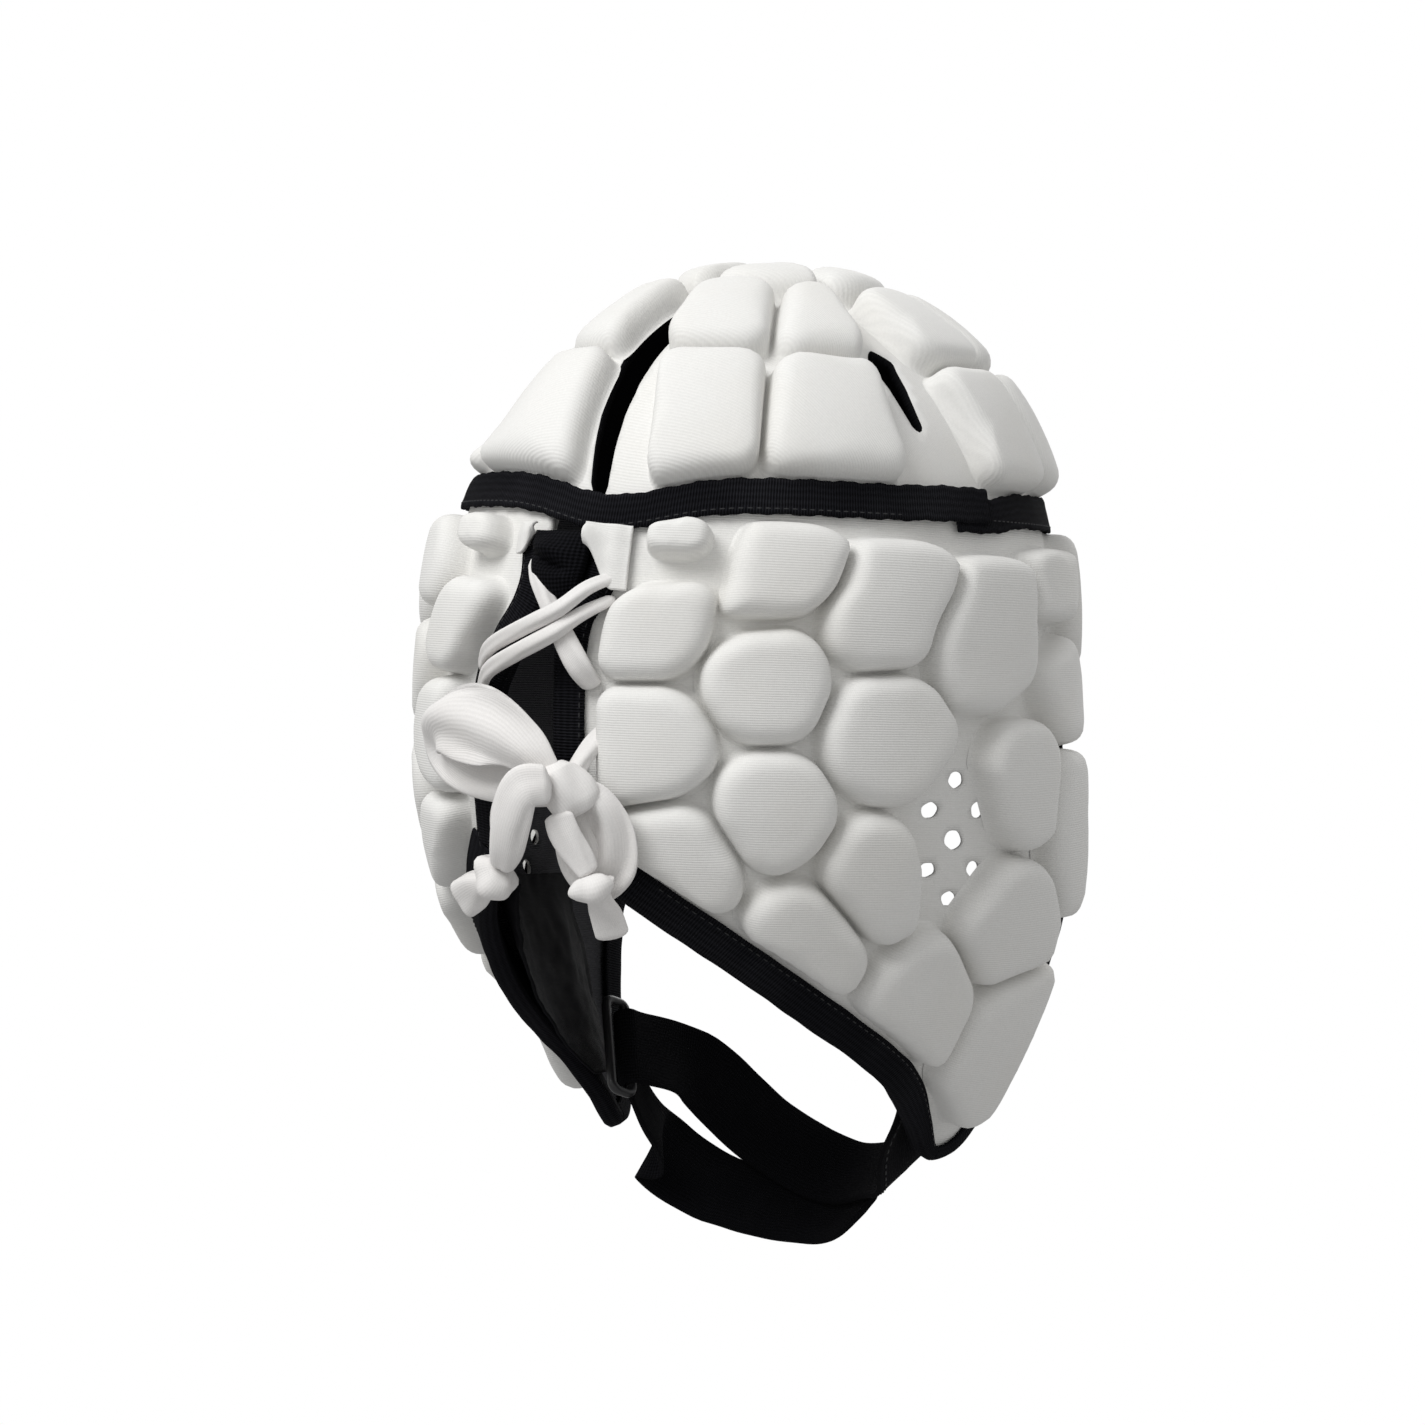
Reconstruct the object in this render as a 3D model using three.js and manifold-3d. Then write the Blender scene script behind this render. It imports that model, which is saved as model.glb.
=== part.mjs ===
// A padded rugby scrum cap: a moulded foam crown with five arms and dart slits between them, two
// moulded side panels laced together at the back, a webbing band over the seam between them,
// bound edges, a bow, and a chin strap that turns back through a ring.
// Millimetres. +Z is up, the face looks along -Y and the wearer's right is -X. The origin is the
// crown's inner top, where the head meets the cap. An angle is in degrees round the head: 0 at the
// back, 90 at the wearer's right ear, 180 at the front. A drop is a depth below the crown's inner top.
import * as THREE from "three";
import { mergeVertices } from "three/addons/utils/BufferGeometryUtils.js";
import Module from "manifold-3d";

const wasm = await Module();
wasm.setup();

// Head form
const headHalfWidth = 80;
const headHalfLength = 100;
const crownHeight = 100;
const flapDrop = 145;
const domeFullness = 2.15;
const crownLean = 10;

// Padded shell
const wall = 3;
const padHeight = 8.5;
const groove = 3.6;
const seamGap = 0.4;
const padCrown = 1;

// Webbing and binding
const bandDrop = 61.5;
const bandWidth = 9.5;
const bandThickness = 1.2;
const bandDip = 6;
const bandDipAngle = 10;
const bandDipReach = 15;
const bindingWidth = 12;
const bindingThickness = 1;
const fit = 0.75;

// Crown arms and the dart slits between them
const armCount = 5;
const armSeam = 0.43;
const armFlange = 8;
const crownTurn = 6.5;
const crownTwist = 20;
const slitWidth = 4.6;
const dentDepth = 11;

// Cheeks sprung outwards round a line behind the ears, in degrees
const cheekHinge = 80;
const cheekSpringRight = 5;
const cheekSpringLeft = 24;
const jawSpreadRight = 8;
const jawSpreadLeft = 15;

// Ear holes
const earHole = 6.4;
const earHoleRing = 15;
const earAngle = 78;
const earShare = 31 / 49;

// Chin strap, ring and tab
const strapWidth = 25;
const strapThickness = 2;
const ringWire = 3;

// Laces
const laceWidth = 8;

const black = { color: 0x0b0b0d, roughness: 0.9, metalness: 0 };
const white = { color: 0xe4e2dc, roughness: 0.95, metalness: 0 };
const laceWhite = { color: 0xe8e2df, roughness: 0.95, metalness: 0 };
const plastic = { color: 0x101012, roughness: 0.4, metalness: 0 };

// Sections of the head form below its widest level. Each drop is a share of the flaps' drop, the
// width a share of the head's half width, and the others shares of its half length.
const sections = [
  { drop: 0, width: 1, back: 1, front: 1, forward: 0 },
  { drop: 0.345, width: 1.006, back: 0.98, front: 1.11, forward: 0.02 },
  { drop: 0.69, width: 0.85, back: 0.84, front: 0.96, forward: 0.09 },
  { drop: 1, width: 0.54, back: 0.6, front: 0.66, forward: 0.2 },
];

// Lower edge of a side panel, from the nape to the jaw tip and up round the face to the brow.
// Each drop is a share of the whole cap's drop.
const panelEdge = [
  { angle: 0, drop: 0.655 },
  { angle: 10.5, drop: 0.706 },
  { angle: 27, drop: 0.771 },
  { angle: 45, drop: 0.841 },
  { angle: 66, drop: 0.918 },
  { angle: 80, drop: 0.978 },
  { angle: 93, drop: 1.02 },
  { angle: 106, drop: 1.005 },
  { angle: 114, drop: 0.93 },
  { angle: 119, drop: 0.82 },
  { angle: 123, drop: 0.735 },
  { angle: 126, drop: 0.63 },
  { angle: 130, drop: 0.53 },
  { angle: 139, drop: 0.455 },
  { angle: 156, drop: 0.42 },
  { angle: 180, drop: 0.41 },
];
const jawTipRow = 6;

// The two edges of the back opening, in degrees each side of the middle of the back. Each drop is
// a share of the whole cap's drop.
const backOpening = [
  { drop: 0.24, right: 7.5, left: 6 },
  { drop: 0.34, right: 7.2, left: 3 },
  { drop: 0.385, right: 3, left: 5 },
  { drop: 0.43, right: 1.6, left: 11 },
  { drop: 0.48, right: 1.5, left: 16 },
  { drop: 0.54, right: 1.5, left: 17 },
  { drop: 0.61, right: 1.5, left: 17 },
  { drop: 0.66, right: 2, left: 18 },
  { drop: 0.72, right: 3, left: 18 },
];

// Middles of the pads on a side panel. The pads fill the cells between them, and a bare cell
// leaves the ear clear. Each drop is a share of the whole cap's drop.
const sidePads = [
  { angle: 16.8, drop: 0.308 },
  { angle: 36.6, drop: 0.337 },
  { angle: 60.4, drop: 0.366 },
  { angle: 85, drop: 0.395 },
  { angle: 108.5, drop: 0.335 },
  { angle: 114.5, drop: 0.454 },
  { angle: 18.6, drop: 0.4 },
  { angle: 39.5, drop: 0.456 },
  { angle: 61, drop: 0.518 },
  { angle: 93, drop: 0.569 },
  { angle: 19.4, drop: 0.532 },
  { angle: 40.4, drop: 0.6 },
  { angle: 58.2, drop: 0.671 },
  { angle: 113.8, drop: 0.602 },
  { angle: 92.7, drop: 0.724 },
  { angle: 23.1, drop: 0.654 },
  { angle: 44.6, drop: 0.735 },
  { angle: 71, drop: 0.812 },
  { angle: 96.5, drop: 0.875 },
  { angle: 128, drop: 0.36 },
  { angle: 148, drop: 0.33 },
  { angle: 168.5, drop: 0.325 },
  { angle: 77.5, drop: 0.63, bare: true },
];

// The black lining inside the left jaw. At runs from its top to the jaw tip, drop is a share of the
// whole cap's drop, and from and to are its edges in degrees.
const jawLiningRows = [
  { at: 0, drop: 0.715, from: 24, to: 98 },
  { at: 0.25, drop: 0.78, from: 36, to: 104 },
  { at: 0.5, drop: 0.845, from: 50, to: 105 },
  { at: 0.75, drop: 0.905, from: 64, to: 103 },
  { at: 1, drop: 0.965, from: 80, to: 100 },
];

// Rows of pads on the crown, as shares of the way from its top down to the band.
const crownRows = [
  { from: 0.03, to: 0.27, split: false },
  { from: 0.27, to: 0.61, split: true },
  { from: 0.61, to: 0.955, split: true },
];

// Middle line of the chin strap from the right jaw to the ring at the left one. Across is a share
// of the head's half width, forward of its half length, and the drop of the whole cap's drop.
const strapRoute = [
  { across: -0.56, forward: 0.22, drop: 0.935 },
  { across: -0.53, forward: 0.24, drop: 0.99 },
  { across: -0.47, forward: 0.36, drop: 1.045 },
  { across: -0.28, forward: 0.51, drop: 1.06 },
  { across: 0, forward: 0.6, drop: 1.075 },
  { across: 0.3, forward: 0.55, drop: 1.03 },
  { across: 0.52, forward: 0.4, drop: 0.95 },
  { across: 0.61, forward: 0.18, drop: 0.922 },
];

// How the strap's free end leaves the ring and lies back on the strap. Along is a share of the
// way from the jaw to the ring, away and down are shares of the strap's width.
const foldBack = [
  { along: 0.99, away: 0.26, down: 0.05 },
  { along: 0.93, away: 0.28, down: 0.3 },
  { along: 0.86, away: 0.2, down: 0.42 },
  { along: 0.78, away: 0.15, down: 0.36 },
  { along: 0.66, away: 0.14, down: 0.22 },
  { along: 0.54, away: 0.14, down: 0.3 },
  { along: 0.46, away: 0.15, down: 0.42 },
];

// Routes of the laces over the back. Angles are degrees to the right of the middle of the back,
// the drop is a share of the whole cap's drop, out a share of the pads' top, and wide and thick
// are shares of the lace's width.
const laceRoutes = {
  lace_cross_over_upper: [
    { angle: 11.5, drop: 0.35, out: 0.62, wide: 0.6, thick: 0.6 },
    { angle: 9, drop: 0.36, out: 0.95, wide: 0.85, thick: 0.7 },
    { angle: 5, drop: 0.383, out: 1.3, wide: 0.85, thick: 0.7 },
    { angle: 0, drop: 0.399, out: 1.35, wide: 0.85, thick: 0.7 },
    { angle: -6, drop: 0.418, out: 1.1, wide: 0.85, thick: 0.7 },
    { angle: -13, drop: 0.438, out: 0.62, wide: 0.6, thick: 0.6 },
  ],
  lace_cross_over_lower: [
    { angle: 10.5, drop: 0.378, out: 0.62, wide: 0.6, thick: 0.6 },
    { angle: 8, drop: 0.391, out: 0.95, wide: 0.85, thick: 0.7 },
    { angle: 4.5, drop: 0.411, out: 1.3, wide: 0.85, thick: 0.7 },
    { angle: 0, drop: 0.43, out: 1.35, wide: 0.85, thick: 0.7 },
    { angle: -5, drop: 0.446, out: 1.1, wide: 0.85, thick: 0.7 },
    { angle: -12, drop: 0.468, out: 0.62, wide: 0.6, thick: 0.6 },
  ],
  lace_cross_under: [
    { angle: -4.5, drop: 0.336, out: 0.62, wide: 0.5, thick: 0.5 },
    { angle: -1.5, drop: 0.352, out: 0.8, wide: 0.75, thick: 0.55 },
    { angle: 1.5, drop: 0.382, out: 0.8, wide: 0.8, thick: 0.55 },
    { angle: 4.5, drop: 0.412, out: 0.8, wide: 0.85, thick: 0.55 },
    { angle: 6.8, drop: 0.44, out: 0.75, wide: 0.85, thick: 0.55 },
    { angle: 8, drop: 0.458, out: 0.5, wide: 0.6, thick: 0.5 },
  ],
  bow_loop_left: [
    { angle: 7, drop: 0.565, out: 1.9, wide: 0.9, thick: 0.5 },
    { angle: 2, drop: 0.53, out: 2.05, wide: 1.5, thick: 0.5 },
    { angle: -4, drop: 0.508, out: 2.05, wide: 2.1, thick: 0.5 },
    { angle: -12, drop: 0.505, out: 1.95, wide: 1.9, thick: 0.5 },
    { angle: -19, drop: 0.52, out: 1.7, wide: 1.1, thick: 0.6 },
    { angle: -20.5, drop: 0.54, out: 1.45, wide: 0.8, thick: 0.6 },
    { angle: -16.5, drop: 0.555, out: 1.4, wide: 0.9, thick: 0.6 },
    { angle: -8, drop: 0.57, out: 1.4, wide: 1, thick: 0.6 },
    { angle: 0, drop: 0.577, out: 1.4, wide: 1, thick: 0.6 },
    { angle: 6, drop: 0.578, out: 1.45, wide: 0.9, thick: 0.6 },
  ],
  bow_loop_right: [
    { angle: 9, drop: 0.572, out: 1.5, wide: 0.9, thick: 0.6 },
    { angle: 13.5, drop: 0.585, out: 1.5, wide: 1.1, thick: 0.6 },
    { angle: 15.5, drop: 0.612, out: 1.45, wide: 1.2, thick: 0.6 },
    { angle: 15, drop: 0.65, out: 1.4, wide: 1.2, thick: 0.6 },
    { angle: 11.5, drop: 0.672, out: 1.4, wide: 1, thick: 0.7 },
    { angle: 8.2, drop: 0.655, out: 1.5, wide: 1.1, thick: 0.6 },
    { angle: 7.5, drop: 0.622, out: 1.5, wide: 1.1, thick: 0.6 },
    { angle: 8, drop: 0.59, out: 1.5, wide: 0.9, thick: 0.6 },
  ],
  lace_tail_left: [
    { angle: 8, drop: 0.562, out: 2.5, wide: 1.1, thick: 0.8 },
    { angle: 4.5, drop: 0.566, out: 2.7, wide: 1.3, thick: 0.8 },
    { angle: 2, drop: 0.592, out: 2.7, wide: 1.3, thick: 0.8 },
    { angle: 0, drop: 0.622, out: 2.55, wide: 1.2, thick: 0.8 },
    { angle: -2, drop: 0.645, out: 2.3, wide: 1, thick: 0.8 },
  ],
  lace_tail_right: [
    { angle: 8, drop: 0.59, out: 2.2, wide: 0.9, thick: 0.7 },
    { angle: 9, drop: 0.61, out: 2.2, wide: 1, thick: 0.7 },
    { angle: 10.5, drop: 0.632, out: 2.2, wide: 1, thick: 0.7 },
    { angle: 12, drop: 0.646, out: 2.2, wide: 0.9, thick: 0.7 },
  ],
  tail_end_left: [
    { angle: -2.6, drop: 0.652, out: 2.25, wide: 1.3, thick: 1.1 },
    { angle: -4.5, drop: 0.658, out: 2.2, wide: 1.5, thick: 1.3 },
    { angle: -6.5, drop: 0.664, out: 2.1, wide: 1.2, thick: 1 },
    { angle: -10, drop: 0.674, out: 2.05, wide: 1.3, thick: 0.9 },
    { angle: -15, drop: 0.689, out: 2, wide: 1.4, thick: 0.9 },
  ],
  tail_end_right: [
    { angle: 12.2, drop: 0.653, out: 2.2, wide: 1.2, thick: 1.1 },
    { angle: 12.6, drop: 0.663, out: 2.2, wide: 1.4, thick: 1.2 },
    { angle: 12.8, drop: 0.673, out: 2.1, wide: 1.1, thick: 1 },
    { angle: 13.2, drop: 0.69, out: 2.05, wide: 1.15, thick: 0.8 },
    { angle: 14, drop: 0.717, out: 2, wide: 1.2, thick: 0.8 },
  ],
  bow_knot: [
    { angle: 5.6, drop: 0.548, out: 1.75, wide: 1, thick: 1 },
    { angle: 6.4, drop: 0.558, out: 1.75, wide: 1.7, thick: 1.5 },
    { angle: 8, drop: 0.572, out: 1.75, wide: 1.9, thick: 1.6 },
    { angle: 9.6, drop: 0.586, out: 1.75, wide: 1.7, thick: 1.5 },
    { angle: 10.4, drop: 0.596, out: 1.75, wide: 1, thick: 1 },
  ],
};

const totalDrop = crownHeight + flapDrop;
const earDrop = earShare * totalDrop;
const padTop = wall + padHeight;
const rad = THREE.MathUtils.degToRad;
const smooth = THREE.MathUtils.smoothstep;

// A value from a table's column at a place along another, by cubic curves through the rows.
function readTable(rows, at, key, along) {
  const last = rows.length - 1;
  const slope = (i) => {
    if (i === 0) return 0;
    const a = rows[Math.max(0, i - 1)];
    const b = rows[Math.min(last, i + 1)];
    return (b[key] - a[key]) / (b[along] - a[along]);
  };
  let i = 0;
  while (i < last - 1 && rows[i + 1][along] < at) i += 1;
  const span = rows[i + 1][along] - rows[i][along];
  const t = Math.min((at - rows[i][along]) / span, 1.3);
  const t2 = t * t;
  const t3 = t2 * t;
  return (
    (2 * t3 - 3 * t2 + 1) * rows[i][key] +
    (t3 - 2 * t2 + t) * span * slope(i) +
    (3 * t2 - 2 * t3) * rows[i + 1][key] +
    (t3 - t2) * span * slope(i + 1)
  );
}

function sectionAt(drop) {
  if (drop < crownHeight) {
    const h = 1 - drop / crownHeight;
    const share = (1 - h ** domeFullness) ** (1 / domeFullness);
    return {
      width: headHalfWidth * share,
      back: headHalfLength * share,
      front: headHalfLength * share,
      forward: crownLean * h * h,
    };
  }
  const at = (drop - crownHeight) / flapDrop;
  return {
    width: headHalfWidth * readTable(sections, at, "width", "drop"),
    back: headHalfLength * readTable(sections, at, "back", "drop"),
    front: headHalfLength * readTable(sections, at, "front", "drop"),
    forward: headHalfLength * readTable(sections, at, "forward", "drop"),
  };
}

function formPoint(angle, drop) {
  const s = sectionAt(drop);
  const c = Math.cos(rad(angle));
  return new THREE.Vector3(
    -s.width * Math.sin(rad(angle)),
    (c > 0 ? s.back : s.front) * c - s.forward,
    -drop,
  );
}

// How far the crown's back left arm is pushed in, beside the slit at its edge.
function dent(angle, drop) {
  const slit = crownTurn - 360 / armCount;
  const across = smooth(angle, slit - 4, slit + 4) * (1 - smooth(angle, slit + 12, slit + 50));
  const down = drop / bandDrop;
  return dentDepth * across * smooth(down, 0.08, 0.45) * (1 - smooth(down, 0.7, 0.98));
}

// The head form with the cheeks sprung out and the jaw spread.
function sprungPoint(angle, drop) {
  const point = formPoint(angle, drop);
  const side = Math.sign(angle);
  const apart = Math.abs(angle);
  const low = smooth(drop / totalDrop, 0.75, 1.02);
  const between = smooth(apart, 20, 75) * smooth(180 - apart, 0, 40);
  const spread = -side * low * between * (side > 0 ? jawSpreadRight : jawSpreadLeft);
  point.x += spread;
  const spring = side > 0 ? cheekSpringRight : cheekSpringLeft;
  const share = smooth(drop / totalDrop, 0.55, 0.78) * smooth(apart, cheekHinge, cheekHinge + 24);
  if (share === 0) return point;
  const hinge = formPoint(side * cheekHinge, drop);
  hinge.x += spread;
  return point
    .sub(hinge)
    .applyAxisAngle(new THREE.Vector3(0, 0, 1), -side * rad(spring) * share)
    .add(hinge);
}

// A point on the head form, that far out from its surface.
function headPoint(angle, drop, out = 0) {
  const step = 0.2;
  const low = Math.max(drop, 2 * step);
  const along = sprungPoint(angle + step, low).sub(sprungPoint(angle - step, low));
  const down = sprungPoint(angle, low + step).sub(sprungPoint(angle, low - step));
  const normal = drop < step ? new THREE.Vector3(0, 0, 1) : down.cross(along).normalize();
  return sprungPoint(angle, drop).addScaledVector(normal, out - dent(angle, drop));
}

// The drop of the seam between the crown and the side panels, which dips at the back.
function seamDrop(angle) {
  return bandDrop + bandDip * Math.exp(-(((angle - bandDipAngle) / bandDipReach) ** 2));
}

// The drop at a share of the way from the crown's top to the band.
function crownDrop(share) {
  const bandTurn = Math.acos((1 - bandDrop / crownHeight) ** (domeFullness / 2));
  return crownHeight * (1 - Math.cos(share * bandTurn) ** (2 / domeFullness));
}

// The crown's slits turn to the left as they rise, and the seams down the arms stay upright.
function crownAngle(angle, share) {
  const nearSlit = 0.5 + 0.5 * Math.cos(rad(angle) * armCount);
  const turned = angle + crownTurn - crownTwist * (1 - share) * nearSlit;
  return turned > 180 ? turned - 360 : turned;
}

function crownPoint(angle, share, out) {
  const turned = crownAngle(angle, share);
  const dip = seamDrop(turned) - bandDrop;
  return headPoint(turned, crownDrop(share) + dip * smooth(share, 0.6, 1), out);
}

// Millimetres for one degree, and for one millimetre of drop, at a place on the head form.
function chartScale(angle, drop) {
  const here = formPoint(angle, drop);
  return {
    perDegree: here.distanceTo(formPoint(angle + 1, drop)),
    perDrop: here.distanceTo(formPoint(angle, drop + 1)),
  };
}

function meshOf(points, faces) {
  const g = new THREE.BufferGeometry();
  const numbers = points.flatMap((p) => [p.x, p.y, p.z]);
  g.setAttribute("position", new THREE.Float32BufferAttribute(numbers, 3));
  g.setIndex(faces.flat());
  return g;
}

// A closed body through rings of points, capped at both ends unless the rings close on themselves.
function loft(rings, { closed = false, cap = "fan" } = {}) {
  const n = rings[0].length;
  const points = rings.flat();
  const faces = [];
  const last = closed ? rings.length : rings.length - 1;
  for (let i = 0; i < last; i += 1) {
    const next = (i + 1) % rings.length;
    for (let k = 0; k < n; k += 1) {
      const m = (k + 1) % n;
      faces.push([i * n + k, i * n + m, next * n + m]);
      faces.push([i * n + k, next * n + m, next * n + k]);
    }
  }
  if (!closed) {
    for (const end of [0, rings.length - 1]) {
      const at = end * n;
      const fan =
        cap === "fan"
          ? Array.from({ length: n - 2 }, (_, k) => [0, k + 1, k + 2])
          : cap.map((f) => [...f]);
      for (const [a, b, c] of fan) faces.push(end ? [at + a, at + b, at + c] : [at + a, at + c, at + b]);
    }
  }
  return facingOut(meshOf(points, faces));
}

// The same body with its faces pointing outwards.
function facingOut(geometry) {
  const p = geometry.attributes.position;
  const index = geometry.index.array;
  const v = [0, 1, 2].map(() => new THREE.Vector3());
  let volume = 0;
  for (let i = 0; i < index.length; i += 3) {
    v.forEach((x, k) => x.fromBufferAttribute(p, index[i + k]));
    volume += v[0].dot(v[1].clone().cross(v[2]));
  }
  if (volume < 0) {
    for (let i = 0; i < index.length; i += 3) {
      [index[i + 1], index[i + 2]] = [index[i + 2], index[i + 1]];
    }
  }
  return geometry;
}

function solidOf(geometry) {
  const bare = mergeVertices(geometry.clone(), 1e-4);
  const index = Array.from(bare.index.array);
  const triangles = Array.from({ length: index.length / 3 }, (_, i) => index.slice(3 * i, 3 * i + 3));
  const whole = triangles.filter(([a, b, c]) => a !== b && b !== c && c !== a);
  return new wasm.Manifold(
    new wasm.Mesh({
      numProp: 3,
      vertProperties: new Float32Array(bare.attributes.position.array),
      triVerts: new Uint32Array(whole.flat()),
    }),
  );
}

function geometryOf(solid) {
  const mesh = solid.getMesh();
  const g = new THREE.BufferGeometry();
  g.setAttribute("position", new THREE.BufferAttribute(mesh.vertProperties, 3));
  g.setIndex(new THREE.BufferAttribute(mesh.triVerts, 1));
  g.computeVertexNormals();
  return g;
}

// A shell between two surfaces over a grid. place(column, row, out) gives its points, and a pole is
// a first row that is one point.
function shell(columns, rows, place, thickness, { around = false, pole = false } = {}) {
  const points = [];
  const at = [0, 1].map((side) =>
    Array.from({ length: columns + (around ? 0 : 1) }, (_, i) =>
      Array.from({ length: rows + 1 }, (_, j) => {
        if (pole && j === 0 && i > 0) return -1;
        points.push(place(i / columns, j / rows, side ? thickness : 0));
        return points.length - 1;
      }),
    ),
  );
  const id = (side, i, j) => (pole && j === 0 ? at[side][0][0] : at[side][around ? i % columns : i][j]);
  const faces = [];
  const quad = (a, b, c, d) => {
    if (a !== b) faces.push([a, b, c]);
    if (c !== d) faces.push([a, c, d]);
  };
  for (let i = 0; i < columns; i += 1) {
    for (let j = 0; j < rows; j += 1) {
      quad(id(1, i, j), id(1, i + 1, j), id(1, i + 1, j + 1), id(1, i, j + 1));
      quad(id(0, i + 1, j), id(0, i, j), id(0, i, j + 1), id(0, i + 1, j + 1));
    }
    quad(id(1, i, rows), id(1, i + 1, rows), id(0, i + 1, rows), id(0, i, rows));
    if (!pole) quad(id(0, i, 0), id(0, i + 1, 0), id(1, i + 1, 0), id(1, i, 0));
  }
  if (!around) {
    for (let j = 0; j < rows; j += 1) {
      quad(id(0, 0, j), id(1, 0, j), id(1, 0, j + 1), id(0, 0, j + 1));
      quad(id(1, columns, j), id(0, columns, j), id(0, columns, j + 1), id(1, columns, j + 1));
    }
  }
  return facingOut(meshOf(points, faces.filter(([a, b, c]) => a !== b && b !== c && a !== c)));
}

// A soft least value, which rounds a cell's corners.
function softLeast(distances) {
  const sharpness = 5;
  if (Math.min(...distances) <= 0) return 0;
  return distances.reduce((sum, d) => sum + d ** -sharpness, 0) ** (-1 / sharpness);
}

// The rounded outline of a pad: where rays from its middle come within half a groove of its cell's
// edge. Room gives the distance to that edge, and scale the chart's millimetres.
function padOutline(middle, room, scale, corners = 8) {
  return Array.from({ length: corners }, (_, k) => {
    const turn = (2 * Math.PI * (k + 0.5)) / corners;
    const ray = new THREE.Vector2(Math.cos(turn) / scale.x, Math.sin(turn) / scale.y);
    const clear = (along) => room(middle.clone().addScaledVector(ray, along)) > groove / 2;
    let near = 0;
    while (clear(near + 1)) near += 1;
    let far = near + 1;
    for (let i = 0; i < 8; i += 1) {
      const half = (near + far) / 2;
      if (clear(half)) near = half;
      else far = half;
    }
    return ray.multiplyScalar(near).add(middle);
  });
}

const anticlockwise = (loop) => (THREE.ShapeUtils.area(loop) > 0 ? loop : [...loop].reverse());
const anticlockwisePad = (pad) => ({ ...pad, outline: anticlockwise(pad.outline) });
const anticlockwiseRim = (rim) =>
  THREE.ShapeUtils.area(rim.map((spot) => spot.at)) > 0 ? rim : [...rim].reverse();
const chartArea = (a, b, c) => (b.x - a.x) * (c.y - a.y) - (b.y - a.y) * (c.x - a.x);

// Swaps the edge between two triangles of a chart for their other diagonal wherever that makes them
// rounder on the real surface, so that no long sliver cuts across the wall's curve.
function rounder(triangles, flat, points) {
  const corner = (a, b, c) => {
    const one = points[b].clone().sub(points[a]);
    return one.angleTo(points[c].clone().sub(points[a]));
  };
  const solid = (a, b, c) => chartArea(flat[a], flat[b], flat[c]) > 1e-3;
  for (let pass = 0; pass < 60; pass += 1) {
    const owners = new Map();
    triangles.forEach((triangle, i) => {
      for (let k = 0; k < 3; k += 1) {
        const [a, b, c] = [0, 1, 2].map((n) => triangle[(k + n) % 3]);
        const key = Math.min(a, b) + "_" + Math.max(a, b);
        owners.set(key, [...(owners.get(key) ?? []), { i, a, b, c }]);
      }
    });
    const moved = new Set();
    for (const [one, two] of owners.values()) {
      if (!two || moved.has(one.i) || moved.has(two.i)) continue;
      const { a, b, c } = one;
      const d = two.c;
      const open = corner(c, a, b) + corner(d, a, b) > Math.PI + 1e-4;
      if (!open || !solid(a, d, c) || !solid(d, b, c)) continue;
      triangles[one.i] = [a, d, c];
      triangles[two.i] = [d, b, c];
      moved.add(one.i).add(two.i);
    }
    if (!moved.size) break;
  }
  return triangles;
}

// A padded wall over a flat chart. Its rim is a loop of points with another loop of as many points
// inside it, and a binding covers the strip between the two. The pads sit on its outer face, the
// holes go through, every loop runs the same way round, and place(point, out) sets a chart point.
function quilted(rim, holes, pads, place) {
  const inner = rim.map((spot) => spot.inset);
  const loops = [inner, ...holes, ...pads.map((pad) => pad.outline)];
  const starts = loops.map((_, i) => loops.slice(0, i).reduce((sum, loop) => sum + loop.length, 0));
  const flat = loops.flat();
  const edge = flat.length;
  flat.push(...rim.map((spot) => spot.at));
  const n = flat.length;
  const points = [...flat.map((p) => place(p, wall)), ...flat.map((p) => place(p, 0))];
  const faces = [];
  const both = (a, b, c) => faces.push([a, b, c], [n + a, n + c, n + b]);
  const between = THREE.ShapeUtils.triangulateShape(inner, loops.slice(1)).map(([a, b, c]) =>
    chartArea(flat[a], flat[b], flat[c]) > 0 ? [a, b, c] : [a, c, b],
  );
  for (const triangle of rounder(between, flat, points)) both(...triangle);
  const ringOf = (loop, start) => loop.map((_, k) => [start + k, start + ((k + 1) % loop.length)]);
  ringOf(rim, edge).forEach(([a, b]) => {
    both(a, b, b - edge);
    both(a, b - edge, a - edge);
    faces.push([b, a, n + a], [b, n + a, n + b]);
  });
  holes.forEach((hole, i) => {
    ringOf(hole, starts[1 + i]).forEach(([a, b]) => faces.push([a, b, n + b], [a, n + b, n + a]));
  });
  pads.forEach((pad, i) => {
    const { outline: loop, middle } = pad;
    const count = loop.length;
    const ring = points.length;
    points.push(...loop.map((p) => place(p, wall + 0.5 * padHeight)));
    points.push(...loop.map((p) => place(p.clone().lerp(middle, 0.24), padTop)));
    points.push(place(middle, padTop + padCrown), place(middle, 0));
    const centre = ring + 2 * count;
    ringOf(loop, starts[1 + holes.length + i]).forEach(([a, b], k) => {
      const [low, lowNext] = [ring + k, ring + ((k + 1) % count)];
      const [high, highNext] = [low + count, lowNext + count];
      faces.push([a, b, lowNext], [a, lowNext, low]);
      faces.push([low, lowNext, highNext], [low, highNext, high]);
      faces.push([high, highNext, centre], [n + b, n + a, centre + 1]);
    });
  });
  return solidOf(facingOut(meshOf(points, faces)));
}

// The crown: a dome with slits cut between its arms and pads fused on
const armTurn = 360 / armCount;

const crownReach = 1.5 * bandDrop;

// A place on the crown's chart, which is a disc: the way from its middle stands for the way down.
function crownSpot(angle, share) {
  return new THREE.Vector2(Math.sin(rad(angle)), Math.cos(rad(angle))).multiplyScalar(share * crownReach);
}

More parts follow.
